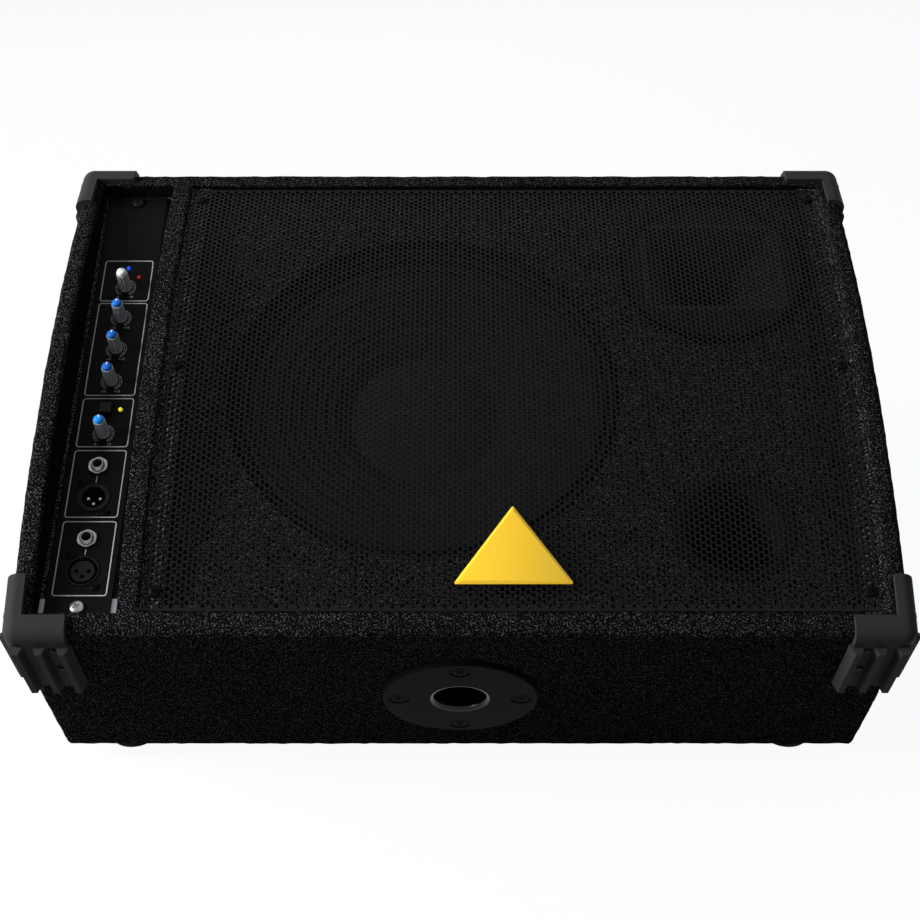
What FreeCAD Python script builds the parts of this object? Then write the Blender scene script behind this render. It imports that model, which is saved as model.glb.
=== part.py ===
import FreeCAD, Part
import math
import os
import Sketcher
from FreeCAD import Placement, Rotation, Vector

# An active stage monitor wedge. Every sub-part but the feet is drawn in the cabinet's frame:
# x to the right, v (FreeCAD's y) up along the baffle, w (FreeCAD's z) out of the baffle.
# v = 0, w = 0 is the corner where the lower end face meets the floor face. One rotation about
# x then stands the cabinet on its floor face, with z = 0 under the rubber feet.

sizes = {
    # cabinet
    "wedge_angle": 30,
    "half_width": 290,
    "body_length": 400,
    "end_depth": 179,
    "bow_height": 23,
    "carpet_thick": 2,
    "carpet_round": 5,
    "board_thick": 12,
    "recess_width": 55,
    "divider_thick": 14,
    "baffle_drop": 9,
    "baffle_thick": 12,
    "screw_gap": 0.1,
    # grille
    "grille_drop": 3,
    "grille_thick": 1.2,
    "grille_end_gap": 2,
    "grille_left_gap": 4,
    "grille_right_gap": 4.5,
    "rail_width": 14,
    "grille_screw_inset": 9,
    "grille_screw_end": 15.5,
    "grille_head_radius": 4,
    "grille_head_height": 2.2,
    "small_shank": 1.6,
    "grille_shank_length": 9,
    "badge_width": 79,
    "badge_height": 55,
    "badge_thick": 3,
    "badge_x": 35,
    "badge_low": 33,
    "badge_round": 2.5,
    # woofer
    "woofer_from_divider": 181,
    "woofer_hole": 140.5,
    "basket_radius": 157,
    "basket_flange": 4,
    "basket_depth": 69,
    "basket_waist": 95,
    "basket_bottom": 84,
    "basket_sheet": 2.5,
    "ledge_depth": 38,
    "window_count": 6,
    "window_width": 46,
    "window_margin": 3.5,
    "basket_neck_gap": 1,
    "rim_width": 7,
    "rim_thick": 2,
    "rim_overhang": 1.5,
    "rim_gap": 0.3,
    "roll_height": 6,
    "surround_skin": 1.2,
    "cone_radius": 124,
    "cone_depth": 33,
    "cone_skin": 1.2,
    "lip_width": 5,
    "cap_radius": 54,
    "cap_height": 12,
    "cap_skin": 1,
    "coil_radius": 32,
    "coil_skin": 1,
    "coil_reach": 8,
    "magnet_gap": 0.7,
    "spider_skin": 1.2,
    "spider_gap": 0.3,
    "spider_inset": 2,
    "front_plate_radius": 60,
    "front_plate_thick": 8,
    "magnet_radius": 75,
    "magnet_hole": 42,
    "magnet_thick": 20,
    "pole_plate_radius": 70,
    "pole_plate_thick": 7,
    "pole_vent": 8,
    "woofer_screw_circle": 152,
    "woofer_screw_count": 8,
    "woofer_head_radius": 4,
    "woofer_head_height": 3,
    "woofer_shank": 2,
    "woofer_shank_length": 12,
    # horn and port
    "horn_from_side": 86,
    "horn_from_end": 89,
    "horn_flange_radius": 70,
    "horn_flange_thick": 4,
    "mouth_width": 100,
    "mouth_height": 76,
    "throat_size": 25,
    "horn_length": 70,
    "horn_wall": 2.5,
    "horn_neck_radius": 38,
    "horn_neck_thick": 4,
    "horn_screw_circle": 62.5,
    "horn_head_radius": 3.5,
    "horn_head_height": 1.8,
    "horn_shank_length": 13,
    "driver_length": 46,
    "driver_cap_radius": 31,
    "driver_cap_length": 7,
    "driver_throat": 12,
    "driver_throat_depth": 40,
    "port_from_side": 91,
    "port_v": 85,
    "port_bore": 34.5,
    "port_wall": 2.5,
    "port_lip": 42,
    "port_lip_thick": 2.5,
    "port_length": 110,
    # pole socket
    "socket_w": 89,
    "socket_flange_radius": 53.2,
    "socket_flange_thick": 4,
    "socket_bore": 17.6,
    "socket_wall": 3.9,
    "socket_depth": 82,
    "socket_bottom": 4,
    "socket_chamfer": 3,
    "socket_screw_circle": 42,
    "socket_head_radius": 7,
    "socket_head_height": 3.6,
    "wood_shank": 2.4,
    "wood_shank_length": 15,
    # corner guards
    "guard_thick": 4.5,
    "guard_reach": 67,
    "guard_leg": 38,
    "guard_end_leg": 37,
    "guard_strip": 9,
    "guard_lip": 11,
    "rib_base": 10,
    "rib_top": 4,
    "rib_end_height": 5.5,
    "rib_side_height": 3,
    "rib_step": 15,
    "rib_first": 4,
    "rib_drop": 9,
    "guard_screw_drop": 13,
    "guard_screw_step": 26,
    "guard_head_radius": 2.4,
    "guard_head_height": 1.6,
    "guard_shank_length": 15,
    # feet
    "foot_radius": 19,
    "foot_height": 15,
    "foot_taper": 2,
    "foot_from_side": 43,
    "foot_inset": 33,
    "foot_recess": 7,
    "foot_recess_depth": 8,
    "case_head_radius": 4,
    "case_head_height": 2.8,
    "case_shank": 2,
    "case_shank_length": 12,
    # carrying handle
    "handle_w": 92,
    "handle_length": 150,
    "handle_height": 100,
    "handle_flange": 3,
    "pocket_length": 124,
    "pocket_height": 76,
    "pocket_depth": 42,
    "pocket_wall": 2.5,
    "grip_radius": 9,
    "grip_depth": 11,
    "handle_screw_x": 69.5,
    "handle_screw_w": 40,
    # control panel and amplifier
    "panel_shift": -1.5,
    "panel_width": 43.5,
    "panel_drop": 8,
    "panel_thick": 1.5,
    "panel_low_gap": 4,
    "panel_high_gap": 2,
    "flange_width": 46.5,
    "flange_thick": 1.2,
    "foot_plate_width": 51,
    "foot_plate_length": 14,
    "tub_width": 41.4,
    "tub_depth": 50,
    "tub_inset": 12,
    "tub_wall": 1.2,
    "panel_rail_thick": 10,
    "panel_rail_gap": 0.3,
    "panel_screw_top": 6.6,
    "panel_screw_bottom": 5.5,
    "panel_head_radius": 4.9,
    "panel_head_height": 3,
    "panel_shank_length": 6,
    "level_v": 292.7,
    "led_stand": 0.5,
    "tone_v": 263.7,
    "tone_step": 28.8,
    "filter_v": 160.8,
    "knob_radius": 4.7,
    "knob_top_radius": 4.2,
    "knob_height": 16.5,
    "knob_lift": 0.5,
    "cap_disc_radius": 3.9,
    "cap_disc_height": 3.2,
    "cap_disc_chamfer": 0.4,
    "shaft_radius": 3,
    "shaft_gap": 0.05,
    "shaft_length": 13,
    "bushing_radius": 4,
    "pot_size": 10,
    "pot_height": 9,
    "board_gap": 19.4,
    "deep_board_gap": 31.4,
    "circuit_thick": 1.6,
    "circuit_width": 38,
    "control_board_low": 147,
    "control_board_high": 326,
    "connector_board_gap": 1.8,
    "connector_board_high": 142,
    "button_shift": -0.6,
    "button_v": 180.5,
    "button_size": 8.6,
    "button_stand": 5,
    "button_gap": 0.3,
    "button_travel": 2,
    "switch_height": 5.5,
    "led_radius": 1.5,
    "power_led_v": 311.2,
    "clip_led_shift": 9.1,
    "clip_led_v": 302.4,
    "filter_led_shift": 9.4,
    "filter_led_v": 181.4,
    "link_jack_v": 133.3,
    "link_plug_v": 108.1,
    "input_jack_v": 75,
    "input_plug_v": 50.9,
    "jack_bore": 3.35,
    "jack_bush": 4.6,
    "jack_bush_stand": 4.8,
    "jack_body": 15,
    "jack_depth": 30,
    "nut_flats": 12.7,
    "nut_thick": 3,
    "shell_radius": 11,
    "shell_stand": 0.8,
    "plug_opening": 8.25,
    "plug_depth": 13,
    "insert_radius": 7.9,
    "groove_radius": 10.2,
    "pin_radius": 1.2,
    "pin_length": 11,
    "pin_circle": 4,
    "contact_hole": 1.5,
    "ear_width": 26,
    "ear_height": 31,
    "ear_thick": 3,
    "ear_screw_x": 9.5,
    "ear_screw_v": 12,
    "ear_head_radius": 2.6,
    "ear_head_height": 1.6,
    "ear_shank": 1.4,
    "ear_shank_length": 5,
    # rear heat sink, mains inlet and switch, along the back face
    "sink_width": 52,
    "sink_low": 30,
    "sink_length": 176,
    "sink_thick": 3,
    "sink_opening_margin": 9,
    "fin_count": 5,
    "fin_step": 7,
    "fin_thick": 2,
    "fin_height": 12,
    "fin_low": 120,
    "fin_end_margin": 5,
    "sink_screw_margin": 4.5,
    "inlet_from_low": 30,
    "inlet_flange_width": 28,
    "inlet_flange_length": 48,
    "inlet_flange_thick": 3,
    "inlet_body_width": 21,
    "inlet_body_length": 29,
    "inlet_body_depth": 22,
    "inlet_mouth_width": 16.5,
    "inlet_mouth_length": 24,
    "inlet_mouth_depth": 17,
    "blade_width": 2,
    "blade_breadth": 4,
    "blade_length": 14,
    "blade_step": 7,
    "blade_offset": 2,
    "switch_from_low": 72,
    "switch_width": 15,
    "switch_length": 21,
    "switch_lip": 2,
    "switch_depth": 16,
    "switch_floor": 3,
    "rocker_width": 12.4,
    "rocker_radius": 8.6,
    "rocker_gap": 0.3,
    "rocker_pivot": 1,
    "rocker_tilt": 9,
    "rocker_stand": 6.4,
    "rocker_ridge": 5,
    "transformer_radius": 46,
    "transformer_hole": 13,
    "transformer_thick": 38,
    "transformer_v": 190,
    "transformer_w": 20,
    "transistor_width": 20,
    "transistor_thick": 5,
    "transistor_length": 14,
    "amp_board_width": 30,
    "amp_board_length": 70,
    "amp_board_low": 122,
}

doc = FreeCAD.newDocument("StageMonitor")
sheet = doc.addObject("Spreadsheet::Sheet", "sizes")
for row, (alias, value) in enumerate(sizes.items(), start=1):
    sheet.set(f"A{row}", str(value))
    sheet.setAlias(f"A{row}", alias)
doc.recompute()


class Size:
    """A value together with the sheet expression that gives it."""

    def __init__(self, value, text):
        self.value = value
        self.text = text

    def __add__(self, other):
        other = asSize(other)
        return Size(self.value + other.value, f"({self.text} + {other.text})")

    def __sub__(self, other):
        other = asSize(other)
        return Size(self.value - other.value, f"({self.text} - {other.text})")

    def __mul__(self, other):
        other = asSize(other)
        return Size(self.value * other.value, f"({self.text} * {other.text})")

    def __truediv__(self, other):
        other = asSize(other)
        return Size(self.value / other.value, f"({self.text} / {other.text})")

    def __neg__(self):
        return Size(-self.value, f"(0 - {self.text})")

    def __radd__(self, other):
        return asSize(other) + self

    def __rsub__(self, other):
        return asSize(other) - self

    def __rmul__(self, other):
        return asSize(other) * self


def asSize(value):
    if isinstance(value, Size):
        return value
    return Size(value, f"({value})")


def dim(name):
    return Size(float(sizes[name]), f"sizes.{name}")


def rootOf(size):
    return Size(math.sqrt(size.value), f"sqrt({size.text})")


def cosOf(size):
    return Size(math.cos(math.radians(size.value)), f"cos({size.text})")


def sinOf(size):
    return Size(math.sin(math.radians(size.value)), f"sin({size.text})")


def arcSinOf(size):
    return Size(math.degrees(math.asin(size.value)), f"(asin({size.text}) / 1 deg)")


def arcRadius(half, rise):
    """The radius of an arc from half its chord and its rise."""
    return (half * half + rise * rise) / (2 * rise)


angle = dim("wedge_angle")
halfWidth = dim("half_width")
bodyLength = dim("body_length")
middle = bodyLength / 2
carpet = dim("carpet_thick")
inner = carpet + dim("board_thick")
bow = dim("bow_height")
bowRadius = arcRadius(middle, bow)
slope = sinOf(angle) / cosOf(angle)
frontGuard = dim("guard_thick")
footHeight = dim("foot_height")

# the cabinet's depth on the floor runs from the lower guards' ribs to the rounded upper back corner
ribTop = dim("end_depth") - dim("rib_drop")
lowestY = -((frontGuard + dim("rib_end_height")) * cosOf(angle) + ribTop * sinOf(angle))
cornerCut = dim("carpet_round") / cosOf(angle) - dim("carpet_round")
highestY = bodyLength * cosOf(angle) - cornerCut
shiftY = (lowestY + highestY) / 2


# ---- drawing helpers ------------------------------------------------------------------

axisX = Vector(1, 0, 0)
axisY = Vector(0, 1, 0)
axisW = Vector(0, 0, 1)
facingTurns = {
    "+w": Rotation(),
    "-w": Rotation(axisX, 180),
    "+v": Rotation(axisX, -90),
    "-v": Rotation(axisX, 90),
    "+x": Rotation(axisY, 90),
    "-x": Rotation(axisY, -90),
}
# An angle can be bound only where a turn about its axis already stands.
startTurn = Placement(Vector(), Rotation(axisX, 10))
opposite = {"+w": "-w", "-w": "+w", "+v": "-v", "-v": "+v", "+x": "-x", "-x": "+x"}
pieces = []


def bind(item, path, size):
    item.setExpression(path, asSize(size).text)


def bindPlace(item, x, v, w, prefix="Placement"):
    bind(item, f"{prefix}.Base.x", x)
    bind(item, f"{prefix}.Base.y", v)
    bind(item, f"{prefix}.Base.z", w)


def block(name, x, v, w):
    """A box from three (low, high) pairs."""
    item = doc.addObject("Part::Box", name)
    bind(item, "Length", x[1] - x[0])
    bind(item, "Width", v[1] - v[0])
    bind(item, "Height", w[1] - w[0])
    bindPlace(item, x[0], v[0], w[0])
    return item


def around(centre, width):
    """The (low, high) pair of a width about a centre."""
    centre = asSize(centre)
    return centre - width / 2, centre + width / 2


def rod(name, at, facing, radius, length):
    """A cylinder that grows from a point in one of the six directions."""
    item = doc.addObject("Part::Cylinder", name)
    item.Placement = Placement(Vector(), facingTurns[facing])
    bind(item, "Radius", radius)
    bind(item, "Height", length)
    bindPlace(item, *at)
    return item


def taper(name, at, facing, nearRadius, farRadius, length):
    item = doc.addObject("Part::Cone", name)
    item.Placement = Placement(Vector(), facingTurns[facing])
    bind(item, "Radius1", nearRadius)
    bind(item, "Radius2", farRadius)
    bind(item, "Height", length)
    bindPlace(item, *at)
    return item


def fuse(name, items):
    if len(items) == 1:
        return items[0]
    item = doc.addObject("Part::MultiFuse", name)
    item.Shapes = items
    return item


def gather(name, items):
    """Separate solids of one sub-part."""
    item = doc.addObject("Part::Compound", name)
    item.Links = items
    return item


def cut(name, base, tools):
    item = doc.addObject("Part::Cut", name)
    item.Base = base
    item.Tool = fuse(name + "Tools", tools)
    return item


def common(name, base, tool):
    item = doc.addObject("Part::Common", name)
    item.Base = base
    item.Tool = tool
    return item


def mirrored(name, source, normal, x, v):
    item = doc.addObject("Part::Mirroring", name)
    item.Source = source
    item.Normal = normal
    bind(item, "Base.x", x)
    bind(item, "Base.y", v)
    return item


def arcBetween(left, right, radius):
    """The arc over two points, its centre below them."""
    chord = right - left
    half = chord.Length / 2
    down = Vector(chord.y, -chord.x, 0) / chord.Length
    centre = (left + right) / 2 + down * math.sqrt(max(radius * radius - half * half, 0))
    startAngle = math.atan2(right.y - centre.y, right.x - centre.x)
    endAngle = math.atan2(left.y - centre.y, left.x - centre.x)
    return Part.ArcOfCircle(Part.Circle(centre, Vector(0, 0, 1), radius), startAngle, endAngle)


def drawOutline(sketch, outline):
    """A closed outline whose corners are tied to the sheet.

    Each corner is (across, up); a third entry is the radius of an arc to the next corner.
    """
    corners = [tuple(asSize(number) for number in corner) for corner in outline]
    points = [Vector(corner[0].value, corner[1].value, 0) for corner in corners]
    ends = []
    for i, corner in enumerate(corners):
        here = points[i]
        there = points[(i + 1) % len(points)]
        if len(corner) == 2:
            sketch.addGeometry(Part.LineSegment(here, there), False)
            ends.append((1, 2))
        elif here.x < there.x:
            sketch.addGeometry(arcBetween(here, there, corner[2].value), False)
            ends.append((2, 1))
        else:
            sketch.addGeometry(arcBetween(there, here, corner[2].value), False)
            ends.append((1, 2))
    for i in range(len(corners)):
        after = (i + 1) % len(corners)
        sketch.addConstraint(Sketcher.Constraint("Coincident", i, ends[i][1], after, ends[after][0]))
    for i, corner in enumerate(corners):
        tie(sketch, ("DistanceX", -1, 1, i, ends[i][0]), corner[0], f"across{i}")
        tie(sketch, ("DistanceY", -1, 1, i, ends[i][0]), corner[1], f"up{i}")
        if len(corner) == 3:
            tie(sketch, ("Radius", i), corner[2], f"radius{i}")


def tie(sketch, words, size, name):
    index = sketch.addConstraint(Sketcher.Constraint(*words, size.value))
    sketch.renameConstraint(index, name)
    bind(sketch, f"Constraints.{name}", size)


def sketchIn(body, role, outline):
    sketch = body.newObject("Sketcher::SketchObject", body.Name + "Outline")
    plane = [feature for feature in body.Origin.OriginFeatures if feature.Role == role][0]
    sketch.AttachmentSupport = [(plane, "")]
    sketch.MapMode = "FlatFace"
    drawOutline(sketch, outline)
    return sketch


def prism(name, outline, along, low, high, rounding=None):
    """An outline padded along x, v or w; rounding fillets every edge of the pad."""
    body = doc.addObject("PartDesign::Body", name)
    role = {"x": "YZ_Plane", "v": "XZ_Plane", "w": "XY_Plane"}[along]
    sketch = sketchIn(body, role, outline)
    bind(sketch, "AttachmentOffset.Base.z", -asSize(high) if along == "v" else low)
    pad = body.newObject("PartDesign::Pad", name + "Pad")
    pad.Profile = sketch
    bind(pad, "Length", asSize(high) - low)
    if rounding is not None:
        doc.recompute()
        fillet = body.newObject("PartDesign::Fillet", name + "Fillet")
        fillet.Base = (pad, [f"Edge{i + 1}" for i in range(len(pad.Shape.Edges))])
        bind(fillet, "Radius", rounding)
    return body


def turned(name, outline, x, v):
    """A (radius, w) outline turned about an axis along w."""
    body = doc.addObject("PartDesign::Body", name)
    sketch = sketchIn(body, "XZ_Plane", outline)
    bindPlace(sketch, x, 0, -asSize(v), "AttachmentOffset")
    turn = body.newObject("PartDesign::Revolution", name + "Turn")
    turn.Profile = sketch
    turn.ReferenceAxis = (sketch, ["V_Axis"])
    turn.Angle = 360
    return body


def turnedAlongV(name, outline, x, w):
    """A (radius, v) outline turned about an axis along v."""
    body = doc.addObject("PartDesign::Body", name)
    sketch = sketchIn(body, "XY_Plane", outline)
    bindPlace(sketch, x, 0, w, "AttachmentOffset")
    turn = body.newObject("PartDesign::Revolution", name + "Turn")
    turn.Profile = sketch
    turn.ReferenceAxis = (sketch, ["V_Axis"])
    turn.Angle = 360
    return body


def screw(name, at, facing, head, shank):
    """A pan-headed screw seated at a point: head and shank are (radius, length) pairs."""
    top = rod(name + "Head", at, facing, dim(head[0]), dim(head[1]))
    stem = rod(name + "Stem", at, opposite[facing], dim(shank[0]), dim(shank[1]))
    return fuse(name, [top, stem])


def drill(name, at, facing, shank):
    """The hole that such a screw needs in what it passes."""
    radius = dim(shank[0]) + dim("screw_gap")
    return rod(name, at, opposite[facing], radius, dim(shank[1]) + dim("screw_gap"))


def lean(item, tilt, v, w, x=0):
    """Turns an inner piece about x and moves it, as for one on a slanted face."""
    item.Placement = startTurn
    bind(item, "Placement.Rotation.Angle", tilt)
    bindPlace(item, x, v, w)
    return item


def place(item, label, tilt=0, v=0, w=0):
    """Names a finished sub-part and stands it on the floor with the rest of the cabinet."""
    v = asSize(v)
    w = asSize(w)
    item.Placement = startTurn
    bind(item, "Placement.Rotation.Angle", angle + tilt)
    bind(item, "Placement.Base.y", v * cosOf(angle) - w * sinOf(angle) - shiftY)
    bind(item, "Placement.Base.z", v * sinOf(angle) + w * cosOf(angle) + footHeight)
    item.Label = label
    pieces.append(item)


# ---- places that several sub-parts share -----------------------------------------------

screwGap = dim("screw_gap")
sideFace = halfWidth - inner
recessHigh = dim("recess_width") - sideFace
dividerHigh = recessHigh + dim("divider_thick")
baffleTop = dim("end_depth") - dim("baffle_drop")
baffleBack = baffleTop - dim("baffle_thick")
backTurn = (angle, middle, -(middle * slope))
floorTurn = (-angle, asSize(0), asSize(0))
faceLength = middle / cosOf(angle)
wooferX = dividerHigh + dim("woofer_from_divider")
hornX = sideFace - dim("horn_from_side")
hornV = bodyLength - dim("horn_from_end")
portX = sideFace - dim("port_from_side")
panelX = dim("recess_width") / 2 - sideFace + dim("panel_shift")
panelTop = dim("end_depth") - dim("panel_drop")
panelV = (inner + dim("panel_low_gap"), bodyLength - inner - dim("panel_high_gap"))
buttonX = panelX + dim("button_shift")


def rimAt(v, inset):
    """How far the bowed front stands out at v, less an inset."""
    run = asSize(v) - middle
    return dim("end_depth") + bow - bowRadius + rootOf(bowRadius * bowRadius - run * run) - inset


def floorAt(v, inset):
    return inset / cosOf(angle) - v * slope


def lowerBack(inset):
    return inset, floorAt(inset, inset)


def upperBack(inset):
    return bodyLength - inset, floorAt(inset, inset)


def apex(inset):
    return middle, floorAt(middle, inset)


def lowerFront(inset, frontInset):
    return inset, rimAt(inset, frontInset)


def upperFront(inset, frontInset):
    return bodyLength - inset, rimAt(inset, frontInset)


def cabinetOutline(inset, frontInset):
    """The side profile: floor face, back face, two end faces and the bowed front."""
    inset = asSize(inset)
    frontInset = asSize(frontInset)
    bowed = (*upperFront(inset, frontInset), bowRadius)
    return [lowerBack(inset), apex(inset), upperBack(inset), bowed, lowerFront(inset, frontInset)]


# ---- the holes that screws and fittings make in the boards and the carpet -----------------

guardHead = ("guard_head_radius", "guard_head_height")
guardShank = ("small_shank", "guard_shank_length")
caseHead = ("case_head_radius", "case_head_height")
caseShank = ("case_shank", "case_shank_length")


def guardPlaces():
    """Two screws in each end face and two in each side of every corner guard."""
    inward = dim("rib_first") + dim("rib_step") * 1.5
    places = []
    for side in (-1, 1):
        for end in (-1, 1):
            endV = -frontGuard if end < 0 else bodyLength + frontGuard
            sideV = inward if end < 0 else bodyLength - inward
            for step in (0, 1):
                level = dim("end_depth") - dim("guard_screw_drop") - dim("guard_screw_step") * step
                places.append(((side * (halfWidth - inward), endV, level), "-v" if end < 0 else "+v"))
                places.append(((side * (halfWidth + frontGuard), sideV, level), "-x" if side < 0 else "+x"))
    return places


def guardHoles():
    return fuse("guardHoles", [drill("guardHole", at, facing, guardShank) for at, facing in guardPlaces()])


def socketPlaces():
    circle = dim("socket_screw_circle")
    seat = -dim("socket_flange_thick")
    level = dim("socket_w")
    across = [(side * circle, seat, level) for side in (-1, 1)]
    return across + [(0, seat, level + side * circle) for side in (-1, 1)]


def socketHoles():
    shank = ("wood_shank", "wood_shank_length")
    holes = [drill("socketHole", at, "-v", shank) for at in socketPlaces()]
    barrel = dim("socket_bore") + dim("socket_wall") + screwGap
    holes.append(rod("socketBarrelHole", (0, -carpet, dim("socket_w")), "+v", barrel, inner + 2 * carpet))
    return fuse("socketHoles", holes)


def handlePlaces():
    seat = bodyLength + dim("handle_flange")
    level = dim("handle_w")
    across = dim("handle_screw_x")
    up = dim("handle_screw_w")
    return [(side * across, seat, level + end * up) for side in (-1, 1) for end in (-1, 1)]


def handleHoles():
    holes = [drill("handleHole", at, "+v", caseShank) for at in handlePlaces()]
    grown = 2 * (dim("pocket_wall") + screwGap)
    x = around(0, dim("pocket_length") + grown)
    w = around(dim("handle_w"), dim("pocket_height") + grown)
    holes.append(block("handleOpening", x, (bodyLength - inner - carpet, bodyLength + carpet), w))
    return fuse("handleHoles", holes)


def sinkPlaces():
    across = dim("sink_width") / 2 - dim("sink_screw_margin")
    low = dim("sink_low") + dim("sink_screw_margin")
    span = dim("sink_length") - 2 * dim("sink_screw_margin")
    seat = -dim("sink_thick")
    return [(panelX + side * across, low + span * step / 2, seat) for side in (-1, 1) for step in (0, 1, 2)]


def sinkHoles():
    holes = [drill("sinkHole", at, "-w", caseShank) for at in sinkPlaces()]
    margin = dim("sink_opening_margin")
    x = around(panelX, dim("sink_width") - 2 * margin)
    b = (dim("sink_low") + margin, dim("sink_low") + dim("sink_length") - margin)
    holes.append(block("sinkOpening", x, b, (-carpet, inner + carpet)))
    return lean(fuse("sinkHoles", holes), *backTurn)


def footPlaces():
    run = dim("foot_inset")
    across = halfWidth - dim("foot_from_side")
    return [(side * across, y) for side in (-1, 1) for y in (run, faceLength - run)]


def footSeat():
    return dim("foot_recess_depth") - footHeight


def footHoles():
    holes = [drill("footHole", (x, y, footSeat()), "-w", caseShank) for x, y in footPlaces()]
    return lean(fuse("footHoles", holes), *floorTurn)


guardBores = guardHoles()
socketBores = socketHoles()
handleBores = handleHoles()
sinkBores = sinkHoles()
footBores = footHoles()
cabinetSkin = prism("cabinetSkin", cabinetOutline(0, 0), "x", -halfWidth, halfWidth, dim("carpet_round"))


# ---- cabinet ---------------------------------------------------------------------------


def sideBoard(label, low, high):
    plate = prism(label + "Plate", cabinetOutline(carpet, carpet), "x", low, high)
    place(cut(label + "Board", plate, [guardBores]), label)


def mitredBoard(label, corners, tools):
    plate = prism(label + "Plate", corners, "x", -sideFace, sideFace)
    place(cut(label + "Board", plate, tools), label)


def boards():
    sideBoard("side_left", carpet - halfWidth, -sideFace)
    sideBoard("side_right", sideFace, halfWidth - carpet)
    low = [lowerBack(carpet), lowerBack(inner), lowerFront(inner, carpet), lowerFront(carpet, carpet)]
    mitredBoard("lower_end_board", low, [socketBores, guardBores])
    mitredBoard("floor_board", [lowerBack(carpet), apex(carpet), apex(inner), lowerBack(inner)], [footBores])
    mitredBoard("back_board", [apex(carpet), upperBack(carpet), upperBack(inner), apex(inner)], [sinkBores])
    high = [upperBack(carpet), upperFront(carpet, carpet), upperFront(inner, carpet), upperBack(inner)]
    mitredBoard("upper_end_board", high, [handleBores, guardBores])
    place(prism("divider", cabinetOutline(inner, carpet), "x", recessHigh, dividerHigh), "divider_board")


def carpetCovering():
    within = halfWidth - carpet
    hollow = prism("carpetHollow", cabinetOutline(carpet, carpet), "x", -within, within)
    v = (inner, bodyLength - inner)
    w = (baffleBack, dim("end_depth") + bow + carpet)
    recess = block("recessWindow", (-sideFace, recessHigh), v, w)
    window = block("grilleWindow", (dividerHigh, sideFace), v, w)
    tools = [hollow, recess, window, guardBores, socketBores, handleBores, sinkBores, footBores]
    place(cut("carpetSheet", cabinetSkin, tools), "carpet_covering")


wooferHead = ("woofer_head_radius", "woofer_head_height")
wooferShank = ("woofer_shank", "woofer_shank_length")
hornHead = ("horn_head_radius", "horn_head_height")
hornShank = ("small_shank", "horn_shank_length")


def wooferPlaces():
    count = sizes["woofer_screw_count"]
    circle = dim("woofer_screw_circle")
    places = []
    for i in range(count):
        turn = asSize(360 * (i + 0.5) / count)
        x = wooferX + circle * cosOf(turn)
        places.append((x, middle + circle * sinOf(turn), baffleBack - dim("basket_flange")))
    return places


def hornPlaces():
    circle = dim("horn_screw_circle")
    seat = baffleTop + dim("horn_flange_thick")
    across = [(hornX + side * circle, hornV, seat) for side in (1, -1)]
    return across + [(hornX, hornV + side * circle, seat) for side in (1, -1)]


wooferBores = [drill("wooferHole", at, "-w", wooferShank) for at in wooferPlaces()]
hornBores = [drill("hornHole", at, "+w", hornShank) for at in hornPlaces()]


def baffleBoard():
    v = (inner, bodyLength - inner)
    plate = block("bafflePlate", (dividerHigh, sideFace), v, (baffleBack, baffleTop))
    below = baffleBack - carpet
    through = dim("baffle_thick") + 2 * carpet
    hole = rod("wooferOpening", (wooferX, middle, below), "+w", dim("woofer_hole"), through)
    portRadius = dim("port_bore") + dim("port_wall") + screwGap
    port = rod("portOpening", (portX, dim("port_v"), below), "+w", portRadius, through)
    grown = 2 * (dim("horn_wall") + screwGap)
    x = around(hornX, dim("mouth_width") + grown)
    horn = block("hornOpening", x, around(hornV, dim("mouth_height") + grown), (below, baffleTop + carpet))
    place(cut("baffleCut", plate, [hole, port, horn, *wooferBores, *hornBores]), "baffle_board")


# ---- grille and badge --------------------------------------------------------------------

grilleHead = ("grille_head_radius", "grille_head_height")
grilleShank = ("small_shank", "grille_shank_length")
grilleTop = dim("grille_drop")
grilleUnder = grilleTop + dim("grille_thick")
grilleLeft = dividerHigh + dim("grille_left_gap")
grilleRight = sideFace - dim("grille_right_gap")


def onGrille(item, x, v):
    """Stands a piece on the bowed grille, square to it."""
    held = gather("heldPiece", [item])
    return lean(held, arcSinOf((middle - v) / bowRadius), v, rimAt(v, grilleTop), x)


def grillePlaces():
    inset = dim("grille_screw_inset")
    end = inner + dim("grille_screw_end")
    left = dividerHigh + inset
    right = sideFace - inset
    return [(x, v) for x in (left, right) for v in (end, middle, bodyLength - end)]


def grilleParts():
    origin = (0, 0, 0)
    bores = [onGrille(drill("grilleHole", origin, "+w", grilleShank), x, v) for x, v in grillePlaces()]
    low = inner + dim("grille_end_gap")
    high = bodyLength - low
    outline = [
        (low, rimAt(low, grilleUnder), bowRadius),
        (high, rimAt(low, grilleUnder)),
        (high, rimAt(low, grilleTop), bowRadius),
        (low, rimAt(low, grilleTop)),
    ]
    plate = prism("grillePlate", outline, "x", grilleLeft, grilleRight)
    place(cut("grilleCut", plate, bores), "grille")
    screws = [
        onGrille(screw("grilleScrew", origin, "+w", grilleHead, grilleShank), x, v)
        for x, v in grillePlaces()
    ]
    place(gather("grilleScrews", screws), "grille_screws")

    width = dim("rail_width")
    rail = [
        (inner, baffleTop),
        (bodyLength - inner, baffleTop),
        (bodyLength - inner, rimAt(inner, grilleUnder), bowRadius),
        (inner, rimAt(inner, grilleUnder)),
    ]
    left = prism("leftGrilleRail", rail, "x", dividerHigh, dividerHigh + width)
    right = prism("rightGrilleRail", rail, "x", sideFace - width, sideFace)
    drilled = [
        cut("leftRailCut", left, bores[:3]),
        cut("rightRailCut", right, bores[3:]),
    ]
    place(gather("frontRails", drilled + panelRails()), "front_rails")


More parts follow.
